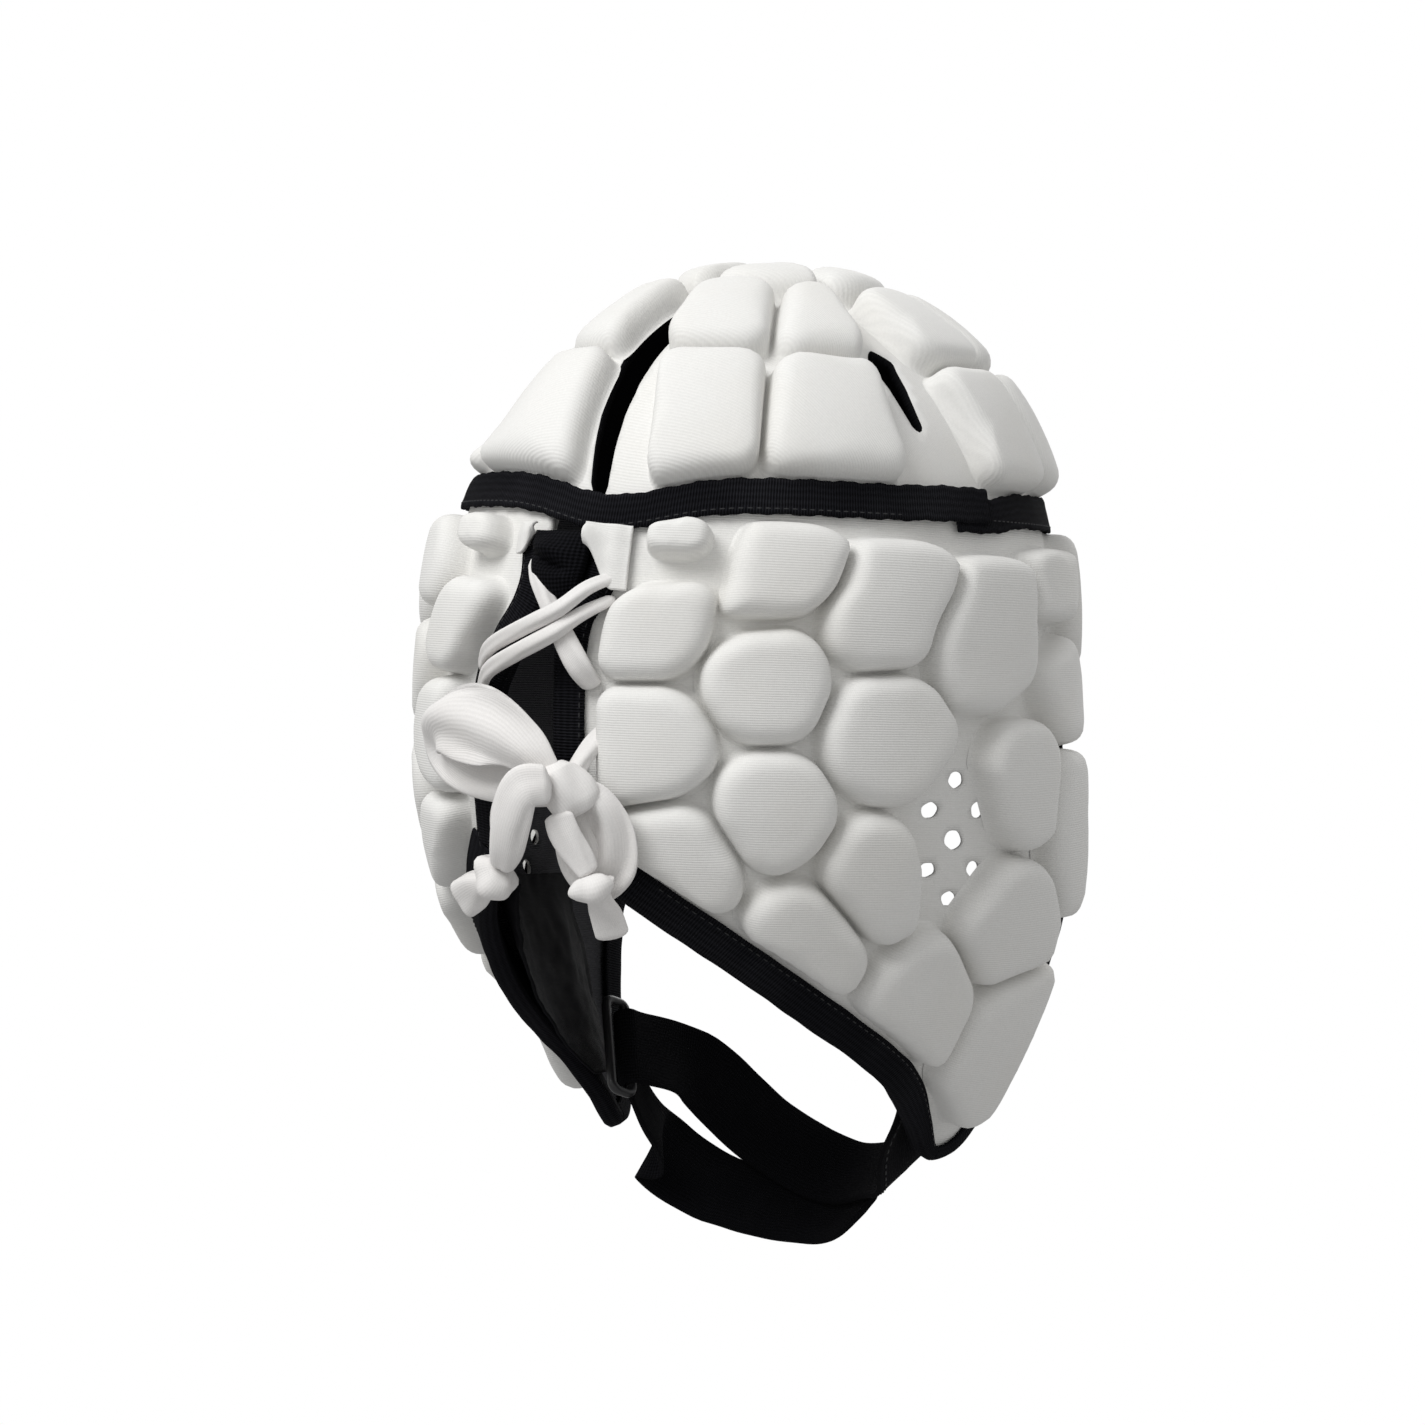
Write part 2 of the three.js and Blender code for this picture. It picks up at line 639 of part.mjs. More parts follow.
function crownSlit(angle) {
  const from = 0.36;
  const to = 0.965;
  const steps = 7;
  const edge = (way) =>
    Array.from({ length: steps }, (_, i) => {
      const t = (i + 0.5) / steps;
      const half = (slitWidth / 2) * Math.sin(Math.PI * t) ** 0.6;
      const across = new THREE.Vector2(Math.cos(rad(angle)), -Math.sin(rad(angle)));
      return crownSpot(angle, from + (to - from) * t).addScaledVector(across, way * half);
    });
  return [crownSpot(angle, from), ...edge(-1), crownSpot(angle, to), ...edge(1).reverse()];
}

// A pad between two of an arm's lines, keeping a flange where the line is a slit.
function crownPad(row, low, high, slitLow, slitHigh) {
  const lines = [
    { turn: low, way: 1, slit: slitLow },
    { turn: high, way: -1, slit: slitHigh },
  ];
  const room = (p) => {
    const radius = p.length();
    const flange = row.split ? slitWidth * 0.6 + armFlange * smooth(radius / crownReach, 0.4, 1) : 0;
    const sides = lines.map(({ turn, way, slit }) => {
      const away = way * (p.x * Math.cos(rad(turn)) - p.y * Math.sin(rad(turn)));
      return away - (slit ? flange : 0);
    });
    return softLeast([...sides, radius - row.from * crownReach, row.to * crownReach - radius]);
  };
  const middle = crownSpot((low + high) / 2, row.from + 0.54 * (row.to - row.from));
  return { middle, outline: padOutline(middle, room, { x: 1, y: 1 }) };
}

function crown() {
  const pads = [];
  const slits = [];
  for (let arm = 0; arm < armCount; arm += 1) {
    const low = arm * armTurn;
    const high = low + armTurn;
    const seam = low + armSeam * armTurn;
    slits.push(crownSlit(low));
    for (const row of crownRows) {
      if (row.split) {
        pads.push(crownPad(row, low, seam, true, false));
        pads.push(crownPad(row, seam, high, false, true));
      } else pads.push(crownPad(row, low, high, true, true));
    }
  }
  const steps = 40;
  const rim = Array.from({ length: steps }, (_, i) => {
    const at = crownSpot((-360 * i) / steps, 1 - seamGap / 2 / bandDrop);
    return { at, inset: at };
  });
  const turned = (p) => THREE.MathUtils.euclideanModulo(THREE.MathUtils.radToDeg(Math.atan2(p.x, p.y)), 360);
  const place = (p, out) => crownPoint(turned(p), p.length() / crownReach, out);
  return quilted(anticlockwiseRim(rim), slits.map(anticlockwise), pads.map(anticlockwisePad), place);
}

// The side panels, from the back opening round to the seam at the front. Side is 1 for the right
// and -1 for the left, and a chart angle is 0 at the opening and 180 at the front on both.
const edgeCurve = new THREE.CatmullRomCurve3(
  panelEdge.map((row) => new THREE.Vector3(row.angle, row.drop * totalDrop, 0)),
  false,
  "centripetal",
);
const jawTip = jawTipRow / (panelEdge.length - 1);

function openingAngle(side, drop) {
  const last = backOpening[backOpening.length - 1].drop;
  const at = Math.min(Math.max(drop / totalDrop, backOpening[0].drop), last);
  return readTable(backOpening, at, side > 0 ? "right" : "left", "drop");
}

function panelAngle(side, chartAngle, drop) {
  const back = openingAngle(side, drop);
  return back + ((180 - back) * chartAngle) / 180;
}

// A pad on a side panel, in the cell round its row's middle.
function panelPad(side, own) {
  const middle = new THREE.Vector2(own.angle, own.drop * totalDrop);
  const scaleAt = (p) => {
    const scale = chartScale(p.x, p.y);
    return new THREE.Vector2((scale.perDegree * (180 - openingAngle(side, p.y))) / 180, scale.perDrop);
  };
  const scale = scaleAt(middle);
  const apart = (p, q, unit) => p.clone().sub(q).multiply(unit);
  const others = sidePads
    .filter((row) => row !== own)
    .map((row) => {
      const spot = new THREE.Vector2(row.angle, row.drop * totalDrop);
      return { spot, unit: scaleAt(spot.clone().lerp(middle, 0.5)) };
    });
  const edge = Array.from({ length: 91 }, (_, i) => edgeCurve.getPoint(i / 90)).map(
    (p) => new THREE.Vector2(p.x, p.y),
  );
  const border = bindingWidth + 0.5 * fit;
  const room = (p) => {
    const cells = others.map(
      ({ spot, unit }) =>
        (apart(p, spot, unit).lengthSq() - apart(p, middle, unit).lengthSq()) /
        (2 * apart(spot, middle, unit).length()),
    );
    const seam = seamDrop(side * panelAngle(side, p.x, p.y));
    return softLeast([
      ...cells,
      Math.min(...edge.map((e) => apart(e, p, scale).length())) - border,
      p.x * scale.x - border,
      (p.y - seam) * scale.y - bandWidth / 2,
      (180 - p.x) * scale.x,
    ]);
  };
  return { middle, outline: padOutline(middle, room, scale) };
}

function earHoles() {
  const scale = chartScale(earAngle, earDrop);
  const hole = (right, down, across) =>
    Array.from({ length: 7 }, (_, k) => {
      const turn = (2 * Math.PI * k) / 7;
      return new THREE.Vector2(
        earAngle + (right + (across / 2) * Math.cos(turn)) / scale.perDegree,
        earDrop + (down + (across / 2) * Math.sin(turn)) / scale.perDrop,
      );
    });
  const around = Array.from({ length: 6 }, (_, k) => {
    const turn = rad(90 + 60 * k);
    return hole(0.8 * earHoleRing * Math.cos(turn), 1.15 * earHoleRing * Math.sin(turn), earHole * 0.75);
  });
  return [hole(0, 0, earHole), ...around];
}

// Places along an edge of a panel, with the way into the panel and how far a binding reaches that
// way. edge(t) gives a chart angle and a drop.
function edgePlaces(side, edge, shares, reach) {
  const at = (t) => {
    const { x, y } = edge(t);
    return new THREE.Vector2(panelAngle(side, x, y), y);
  };
  return shares.map((t) => {
    const here = at(t);
    const scale = chartScale(here.x, here.y);
    const along = at(Math.min(t + 0.004, 1)).sub(at(Math.max(t - 0.004, 0)));
    along.set(along.x * scale.perDegree, along.y * scale.perDrop).normalize();
    const inward = new THREE.Vector2(along.y / scale.perDegree, -along.x / scale.perDrop);
    return { side, here, inward, reach: reach(t) };
  });
}

const inFrom = ({ here, inward }, far) => here.clone().addScaledVector(inward, far);
const evenly = (count) => Array.from({ length: count + 1 }, (_, i) => i / count);

// The bound edges of a panel: up the back opening, along the neck and round the face.
const footSteps = 30;
const tipStep = Math.round(jawTip * footSteps);
const bandClear = bandDip + bandWidth / 2 + 1;

function boundEdges(side) {
  const corner = edgeCurve.getPoint(0).y;
  const top = bandDrop + bandClear;
  const back = edgePlaces(
    side,
    (t) => new THREE.Vector2(0, top + (corner - top) * t),
    evenly(7),
    () => 0.8 * bindingWidth,
  );
  const foot = edgePlaces(
    side,
    (t) => edgeCurve.getPoint(t),
    evenly(footSteps),
    (t) => {
      const nearTip = smooth(Math.abs(t - jawTip), 0, 0.14);
      return bindingWidth * (0.45 + (t < jawTip ? 0.55 : 0.35) * nearTip);
    },
  );
  return { back, foot };
}

function sidePanel(side) {
  const { back, foot } = boundEdges(side);
  const front = 180 - seamGap / 2;
  const topAt = (angle) => seamDrop(side * angle) + seamGap / 2;
  const open = (x, y) => {
    const at = new THREE.Vector2(x, y);
    return { at, inset: at };
  };
  const bound = (place) => ({ at: place.here, inset: inFrom(place, place.reach) });
  const start = back[0].here.x;
  const topInset = inFrom(back[0], back[0].reach).x;
  const nape = bound(foot[0]);
  nape.inset = new THREE.Vector2(inFrom(back[7], back[7].reach).x, inFrom(foot[0], foot[0].reach).y);
  const brow = foot[footSteps];
  const rim = [
    open(topInset, topAt(topInset)),
    { at: new THREE.Vector2(start, topAt(start)), inset: new THREE.Vector2(topInset, topAt(topInset)) },
    ...back.slice(0, 7).map(bound),
    nape,
    ...foot.slice(1, footSteps).map(bound),
    { at: new THREE.Vector2(front, brow.here.y), inset: new THREE.Vector2(front, brow.here.y - brow.reach) },
    open(front, brow.here.y - brow.reach),
    open(front, topAt(front)),
    ...evenly(24).slice(1, 24).map((t) => {
      const x = front + (topInset - front) * t;
      return open(x, topAt(x));
    }),
  ];
  const settle = (p) => new THREE.Vector2(panelAngle(side, p.x, p.y), p.y);
  const pads = sidePads
    .filter((row) => !row.bare)
    .map((row) => panelPad(side, row))
    .map(({ middle, outline }) => ({ middle: settle(middle), outline: outline.map(settle) }));
  return quilted(
    anticlockwiseRim(rim),
    earHoles().map((hole) => anticlockwise(hole.map(settle))),
    pads.map(anticlockwisePad),
    (p, out) => headPoint(side * p.x, p.y, out),
  );
}

// The webbing band over the seam between the crown and the side panels
function crownBand() {
  const steps = 40;
  const low = wall + 2 * fit;
  const high = low + bandThickness;
  const rings = Array.from({ length: steps }, (_, i) => {
    const turn = -180 + (360 * i) / steps;
    const at = (share, out) => headPoint(turn, seamDrop(turn) + share * bandWidth, out);
    return [at(-0.5, low), at(0.5, low), at(0.5, high), at(-0.5, high)];
  });
  return loft(rings, { closed: true });
}

// A folded binding along places on an edge, with room for the wall between its two sides.
function binding(places) {
  const low = -fit;
  const high = wall + fit;
  const skin = bindingThickness;
  const outline = (far) => [
    [far, low],
    [low, low],
    [low, high],
    [far, high],
    [far, high + skin],
    [low - skin, high + skin],
    [low - skin, low - skin],
    [far, low - skin],
  ];
  const cap = [
    [0, 1, 6],
    [0, 6, 7],
    [1, 2, 5],
    [1, 5, 6],
    [2, 3, 4],
    [2, 4, 5],
  ];
  const rings = places.map((place) =>
    outline(place.reach - 2 * fit).map(([far, out]) => {
      const { x, y } = inFrom(place, far);
      return headPoint(place.side * x, y, out);
    }),
  );
  return loft(rings, { cap });
}

// The black gusset that fills the top of the back opening, puffed outwards.
function gusset() {
  const low = wall + 2 * fit + bindingThickness;
  const left = -6;
  const right = 8.5;
  const top = bandDrop + bandClear;
  const height = 16;
  return shell(
    5,
    4,
    (u, v, out) => {
      const puff = 4.5 * Math.sin(Math.PI * u) * Math.sin(Math.PI * v);
      const narrow = 1 - 0.3 * v;
      const angle = (left + right) / 2 + (u - 0.5) * (right - left) * narrow;
      return headPoint(angle, top + height * v, low + puff + out);
    },
    1.4,
  );
}

// A soft flattened cord or folded ribbon along a route. Grow swells it, to cut room for it.
function lace(name, grow = 0) {
  const rows = laceRoutes[name];
  const round = 8;
  const at = (row) => [row.angle, row.drop * totalDrop, row.out * padTop];
  const spots = rows.map((row) => headPoint(...at(row)));
  const curve = new THREE.CatmullRomCurve3(spots, false, "centripetal");
  const steps = (rows.length - 1) * (rows.length > 6 ? 1 : 2);
  const rings = Array.from({ length: steps + 1 }, (_, i) => {
    const t = i / steps;
    const place = t * (rows.length - 1);
    const k = Math.min(Math.floor(place), rows.length - 2);
    const mix = (key) => rows[k][key] + (rows[k + 1][key] - rows[k][key]) * (place - k);
    const outward = headPoint(mix("angle"), mix("drop") * totalDrop, 1).sub(
      headPoint(mix("angle"), mix("drop") * totalDrop, 0),
    );
    const along = curve.getTangent(t);
    const across = along.clone().cross(outward).normalize();
    const up = across.clone().cross(along).normalize();
    const end = i === 0 || i === steps ? 0.75 : 1;
    const wide = end * (mix("wide") * laceWidth) / 2 + grow;
    const thick = end * (mix("thick") * laceWidth) / 2 + grow;
    const spot = curve.getPoint(t).addScaledVector(along, i === 0 ? -grow : i === steps ? grow : 0);
    return Array.from({ length: round }, (_, n) => {
      const turn = (2 * Math.PI * n) / round;
      return spot
        .clone()
        .addScaledVector(across, wide * Math.cos(turn))
        .addScaledVector(up, thick * Math.sin(turn));
    });
  });
  return loft(rings);
}

// The chin strap: from the right jaw round under the chin, through the ring at the left jaw and
// back along its own outer face
const strapCurve = new THREE.CatmullRomCurve3(
  strapRoute.map(
    (row) =>
      new THREE.Vector3(
        row.across * headHalfWidth,
        -row.forward * headHalfLength,
        -row.drop * totalDrop,
      ),
  ),
  false,
  "centripetal",
);
const foldRadius = ringWire / 2 + fit + strapThickness / 2;

// A place on the strap's route: its middle, the way along it, across it and towards the head.
function strapPlace(t) {
  const spot = strapCurve.getPoint(t);
  const along = strapCurve.getTangent(t);
  const toHead = new THREE.Vector3(0, 0.1 * headHalfLength, -0.78 * totalDrop).sub(spot);
  const across = along.clone().cross(toHead).normalize();
  const face = across.clone().cross(along).normalize();
  if (face.dot(toHead) < 0) face.negate();
  if (across.z < 0) across.negate();
  return { spot, along, across, face };
}

function chinStrap() {
  const rings = [];
  const add = (spot, across, face, width) => {
    const half = across.clone().multiplyScalar((width * strapWidth) / 2);
    const skin = face.clone().multiplyScalar(strapThickness / 2);
    const corner = (a, b) => spot.clone().addScaledVector(half, a).addScaledVector(skin, b);
    rings.push([corner(-1, -1), corner(1, -1), corner(1, 1), corner(-1, 1)]);
  };
  const steps = 16;
  for (let i = 0; i <= steps; i += 1) {
    const { spot, across, face } = strapPlace(i / steps);
    add(spot, across, face, 1);
  }
  const end = strapPlace(1);
  const bar = end.spot.clone().addScaledVector(end.face, -foldRadius);
  for (const turn of [45, 90, 135]) {
    const face = end.face.clone().multiplyScalar(Math.cos(rad(turn)));
    face.addScaledVector(end.along, Math.sin(rad(turn)));
    add(bar.clone().addScaledVector(face, foldRadius), end.across, face, 1);
  }
  foldBack.forEach((row, i) => {
    const { spot, across, face } = strapPlace(row.along);
    spot.addScaledVector(face, -row.away * strapWidth).addScaledVector(across, -row.down * strapWidth);
    const last = foldBack.length - 1;
    add(spot, across, face.negate(), i === last ? 0.45 : i === last - 1 ? 0.95 : 1);
  });
  return loft(rings);
}

// The ring at the left jaw, whose front bar the strap turns round.
function strapRing() {
  const { spot, along, across, face } = strapPlace(1);
  const middle = spot.clone().addScaledVector(face, -foldRadius).addScaledVector(along, 4);
  const tall = strapWidth / 2 + ringWire;
  const deep = 4;
  const corner = 2.5;
  const stations = [];
  for (const [x, y, start] of [
    [1, 1, 0],
    [-1, 1, 90],
    [-1, -1, 180],
    [1, -1, 270],
  ]) {
    for (const turn of [start, start + 45, start + 90]) {
      const out = along
        .clone()
        .multiplyScalar(Math.cos(rad(turn)))
        .addScaledVector(across, Math.sin(rad(turn)));
      const from = middle
        .clone()
        .addScaledVector(along, x * (deep - corner))
        .addScaledVector(across, y * (tall - corner));
      stations.push({ spot: from.addScaledVector(out, corner), out });
    }
  }
  const rings = stations.map((station) =>
    Array.from({ length: 8 }, (_, n) =>
      station.spot
        .clone()
        .addScaledVector(station.out, (ringWire / 2) * Math.cos((Math.PI * n) / 4))
        .addScaledVector(face, (ringWire / 2) * Math.sin((Math.PI * n) / 4)),
    ),
  );
  return loft(rings, { closed: true });
}

// The black lining inside the left jaw, which shows under the cap from the right.
function jawLining() {
  const out = -fit - bindingThickness - 4;
  return shell(
    6,
    5,
    (u, v, thick) => {
      const drop = readTable(jawLiningRows, v, "drop", "at") * totalDrop;
      const from = readTable(jawLiningRows, v, "from", "at");
      const to = readTable(jawLiningRows, v, "to", "at");
      return headPoint(-(from + (to - from) * u), drop, out + thick);
    },
    1,
  );
}

const solids = {};
for (const name of Object.keys(laceRoutes)) solids[name] = solidOf(lace(name));

// The pieces of the bow bear on one another: each gives way to the ones before it.
const bowOrder = [
  "bow_knot",
  "tail_end_left",
  "tail_end_right",
  "lace_tail_left",
  "lace_tail_right",
  "bow_loop_left",
  "bow_loop_right",
];
bowOrder.forEach((name, i) => {
  for (const above of bowOrder.slice(0, i)) {
    solids[name] = solids[name].subtract(solidOf(lace(above, 0.35)));
  }
});
const crossOrder = ["lace_cross_over_upper", "lace_cross_over_lower", "lace_cross_under"];
crossOrder.forEach((name, i) => {
  for (const above of crossOrder.slice(0, i)) {
    solids[name] = solids[name].subtract(solidOf(lace(above, 0.35)));
  }
});
const laceRoom = wasm.Manifold.union(Object.keys(laceRoutes).map((name) => solidOf(lace(name, 0.4))));

solids.crown = crown();
const right = boundEdges(1);
const left = boundEdges(-1);
const faceEdge = (edges) => edges.foot.slice(tipStep + 2);
solids.side_panel_right = sidePanel(1).subtract(laceRoom);
solids.side_panel_left = sidePanel(-1).subtract(laceRoom);
solids.crown_band = solidOf(crownBand());
solids.back_binding_right = solidOf(binding(right.back)).subtract(laceRoom);
solids.back_binding_left = solidOf(binding(left.back)).subtract(laceRoom);
solids.neck_binding_right = solidOf(binding(right.foot.slice(2, tipStep + 1)));
solids.neck_binding_left = solidOf(binding(left.foot.slice(2, tipStep + 1)));
solids.face_binding = solidOf(binding([...faceEdge(right), ...faceEdge(left).reverse().slice(1)]));
solids.back_gusset = solidOf(gusset()).subtract(laceRoom);
solids.chin_strap = solidOf(chinStrap());
solids.strap_ring = solidOf(strapRing());
solids.jaw_lining_left = solidOf(jawLining());

const looks = (name) => {
  if (name.startsWith("lace") || name.startsWith("bow") || name.startsWith("tail")) return laceWhite;
  if (name === "crown" || name.startsWith("side")) return white;
  return name === "strap_ring" ? plastic : black;
};

const cap = new THREE.Group();
for (const [name, solid] of Object.entries(solids)) {
  const skin = new THREE.MeshStandardMaterial(looks(name));
  const mesh = new THREE.Mesh(geometryOf(solid.simplify(0.1)), skin);
  mesh.name = name;
  cap.add(mesh);
}
export default cap;
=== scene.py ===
"""A white padded rugby scrum cap, seen from behind on the wearer's right.

Metres, +Z up, the face looks along -Y and the wearer's right is -X. The origin is the crown's
inner top. An angle is in degrees round the head, 0 at the back and 90 at the wearer's right ear,
and a drop is a depth below the crown's inner top.
"""

import math

import bmesh
import bpy
import numpy as np
from mathutils import Matrix, Vector, noise
from mathutils.geometry import delaunay_2d_cdt


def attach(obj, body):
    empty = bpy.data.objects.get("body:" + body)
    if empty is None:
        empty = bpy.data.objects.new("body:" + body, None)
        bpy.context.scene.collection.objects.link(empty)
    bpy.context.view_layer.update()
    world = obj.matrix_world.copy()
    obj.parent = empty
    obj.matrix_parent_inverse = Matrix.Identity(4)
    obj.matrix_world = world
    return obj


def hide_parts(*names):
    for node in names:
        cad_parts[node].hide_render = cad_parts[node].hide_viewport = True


bl_info = {
    "name": "Padded Scrum Cap",
    "version": (1, 0, 0),
    "blender": (4, 5, 0),
    "location": "View3D > Sidebar > Scrum Cap",
    "description": "Builds a padded rugby scrum cap and a pale studio round it",
    "category": "Add Mesh",
}

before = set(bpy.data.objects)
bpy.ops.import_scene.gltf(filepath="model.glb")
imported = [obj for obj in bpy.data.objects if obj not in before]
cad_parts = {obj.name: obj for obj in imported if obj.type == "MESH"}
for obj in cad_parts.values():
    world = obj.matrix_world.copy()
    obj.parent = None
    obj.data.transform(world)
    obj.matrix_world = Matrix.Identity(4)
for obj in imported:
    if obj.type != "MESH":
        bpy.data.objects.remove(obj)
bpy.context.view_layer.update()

# Head form
HEAD_HALF_WIDTH = 0.080
HEAD_HALF_LENGTH = 0.100
CROWN_HEIGHT = 0.100
FLAP_DROP = 0.145
TOTAL_DROP = CROWN_HEIGHT + FLAP_DROP
DOME_FULLNESS = 2.15
CROWN_LEAN = 0.010

# Padded shell
WALL = 0.003
PAD_HEIGHT = 0.0085
PAD_TOP = WALL + PAD_HEIGHT
PAD_GAP = 0.0012
PAD_SLOPE = 0.0016
PAD_ROUNDING = 0.007
PAD_SQUARENESS = 2.7
PAD_CORNERS = 64
PAD_STEP = 0.001
PAD_FULL_REACH = 0.0085
PAD_TOP_RINGS = (0.8, 0.58, 0.36, 0.16)
PAD_DOME = 0.02
BROAD_RIPPLE = 0.016
FINE_RIPPLE = 0.006
CROWN_ROUNDING = 0.006
SEAM_GAP = 0.0004
WALL_WAVE = 0.0005

# The charts on which the walls are meshed: metres for a step of each kind. A side panel's steps
# are a degree and a metre of drop, and it stops a little short of the seam at the brow.
CROWN_CHART = (1.0, 1.0)
PANEL_CHART = (0.0014, 1.0)
FRONT_SEAM = 0.02

# Tapes. The band laps over itself from an angle on, and the panels' edge is counted in parts.
BAND_DROP = 0.0615
BAND_WIDTH = 0.0095
BAND_THICKNESS = 0.0012
BAND_DIP = 0.006
BAND_DIP_ANGLE = 10
BAND_DIP_REACH = 15
BINDING_WIDTH = 0.012
BINDING_THICKNESS = 0.001
FIT = 0.00075
PUCKER = 0.0003
LAP_START = 79
LAP = 8
LAP_SHIFT = 0.0022
EDGE_PARTS = 30
BAND_CLEAR = BAND_DIP + BAND_WIDTH / 2 + 0.001

# Crown
ARM_COUNT = 5
ARM_TURN = 360 / ARM_COUNT
ARM_SEAM = 0.43
ARM_FLANGE = 0.0125
NARROW_FLANGE = 0.003
SLIT_CLEAR = 0.003
SLIT_STEPS = 24
SLIT_FRAY = 0.0003
CROWN_TURN = 6.5
CROWN_TWIST = 20
CROWN_REACH = 1.5 * BAND_DROP
DENT_DEPTH = 0.011

# Cheeks
CHEEK_HINGE = 80
CHEEK_SPRING = {1: 5, -1: 24}
JAW_SPREAD = {1: 0.008, -1: 0.015}

# Ear holes
EAR_HOLE = 0.0058
EAR_HOLE_STRETCH = 1.5
EAR_WALL = 0.001
EAR_THIN_REACH = 0.022
EAR_HOLE_RING = 0.015
EAR_ANGLE = 78
EAR_DROP = 0.155

# Gusset, the cloth turned back beside it, and the jaw lining
GUSSET_ANGLES = (-5, 7.5)
GUSSET_HEIGHT = 0.017
GUSSET_PUFF = 0.006
GUSSET_FOLD = 0.003
GUSSET_THICKNESS = 0.0014
FLAP_TUCK = 0.002
FLAP_THICKNESS = 0.0012
LINING_CLEAR = 0.004
LINING_THICKNESS = 0.001
OVER_TAPES = WALL + 2 * FIT + BINDING_THICKNESS

# Chin strap, ring and laces
STRAP_WIDTH = 0.025
STRAP_THICKNESS = 0.002
STRAP_CORNERS = 44
STRAP_SQUARENESS = 7.0
STRAP_STEPS = 90
FOLD_STEPS = 70
RING_WIRE = 0.003
RING_DEPTH = 0.004
RING_CORNER = 0.0025
FOLD_RADIUS = RING_WIRE / 2 + FIT + STRAP_THICKNESS / 2
LACE_WIDTH = 0.008
LACE_CORNERS = 28
LACE_SQUARENESS = 2.1
LACE_STEPS = 18
LOOP_PLEAT = 0.0011

# Stitches: their pitch, length and thickness, and where they run on the strap and the tapes
STRAP_STITCH = (0.0032, 0.0022, 0.0006)
BAND_STITCH = (0.0026, 0.0017, 0.0004)
BINDING_STITCH = (0.0028, 0.0019, 0.0004)
STRAP_STITCH_SHARE = 0.41
BAND_STITCH_SHARE = 0.36
BINDING_STITCH_SHARE = 0.86


def table(columns, *rows):
    """Rows of a table as dictionaries of its named columns."""
    names = columns.split()
    return [dict(zip(names, row)) for row in rows]


# The drop is a share of the flaps' drop, the width of the half width, the rest of the half length.
SECTIONS = table(
    "drop width back front forward",
    (0, 1, 1, 1, 0),
    (0.345, 1.006, 0.98, 1.11, 0.02),
    (0.69, 0.85, 0.84, 0.96, 0.09),
    (1, 0.54, 0.6, 0.66, 0.2),
)

# Lower edge of a side panel, from the nape to the jaw tip and up round the face to the brow.
PANEL_EDGE = table(
    "angle drop",
    (0, 0.655), (10.5, 0.706), (27, 0.771), (45, 0.841), (66, 0.918), (80, 0.978), (93, 1.02),
    (106, 1.005), (114, 0.93), (119, 0.82), (123, 0.735), (126, 0.63), (130, 0.53), (139, 0.455),
    (156, 0.42), (180, 0.41),
)
JAW_TIP = 6 / (len(PANEL_EDGE) - 1)

BACK_OPENING = table(
    "drop right left",
    (0.24, 7.5, 6), (0.34, 7.2, 3), (0.385, 3, 5), (0.43, 1.6, 11), (0.48, 1.5, 16),
    (0.54, 1.5, 17), (0.61, 1.5, 17), (0.66, 2, 18), (0.72, 3, 18),
)

# Middles of the pads on a side panel, and of the bare cell over the ear. A drop is a share of the
# whole drop. Wide and tall are the most that a pad measures, in millimetres, and 60 leaves it to
# fill its cell.
SIDE_PADS = table(
    "angle drop wide tall",
    (16.8, 0.302, 13, 7.5), (36.3, 0.333, 36, 23), (58, 0.368, 47, 34), (81.5, 0.397, 58, 42),
    (108.5, 0.335, 60, 18), (114.5, 0.454, 60, 60), (18.4, 0.393, 34, 39), (38.9, 0.457, 41, 39),
    (59.6, 0.518, 49, 37), (93, 0.569, 41, 35), (19, 0.53, 39, 40), (39.8, 0.602, 40, 44),
    (57.6, 0.672, 28, 44), (113.8, 0.602, 60, 60), (90.5, 0.724, 60, 60), (23.1, 0.654, 60, 60),
    (44.6, 0.735, 60, 60), (71, 0.812, 60, 60), (96.5, 0.875, 60, 60), (128, 0.36, 60, 60),
    (148, 0.33, 60, 60), (168.5, 0.325, 60, 60),
)
BARE_CELL = table("angle drop", (77.5, 0.63))

# Angles from the lining's back edge to its front edge, for each share of the way down it.
JAW_LINING_ROWS = table(
    "at drop from to",
    (0, 0.715, 24, 98), (0.25, 0.78, 36, 104), (0.5, 0.845, 50, 105), (0.75, 0.905, 64, 103),
    (1, 0.965, 80, 100),
)

# Rows of pads on the crown, as shares of the way from its top down to the band.
CROWN_ROWS = table("start end split", (0.03, 0.27, False), (0.27, 0.61, True), (0.61, 0.955, True))

# The slits between the crown's arms, as shares of the way down, and their widths in metres.
SLITS = table(
    "start end width",
    (0.31, 0.975, 0.0145), (0.52, 0.8, 0.0085), (0.36, 0.95, 0.007), (0.36, 0.95, 0.007),
    (0.4, 0.95, 0.008),
)

# The strap's way from the right jaw to the ring, as shares of the head's half width and half
# length and of the whole drop, and its free end's way back from the ring: the place along that
# way, and how far away from the head and down it lies, in widths of the strap.
STRAP_ROUTE = table(
    "across forward drop",
    (-0.56, 0.22, 0.935), (-0.53, 0.24, 0.99), (-0.47, 0.36, 1.045), (-0.28, 0.51, 1.06),
    (0, 0.6, 1.075), (0.3, 0.55, 1.03), (0.52, 0.4, 0.95), (0.61, 0.18, 0.922),
)
FOLD_BACK = table(
    "along away down",
    (0.99, 0.26, 0.12), (0.95, 0.34, 0.6), (0.88, 0.34, 1.02), (0.79, 0.26, 1.05),
    (0.67, 0.18, 0.8), (0.55, 0.15, 0.52), (0.45, 0.15, 0.44),
)

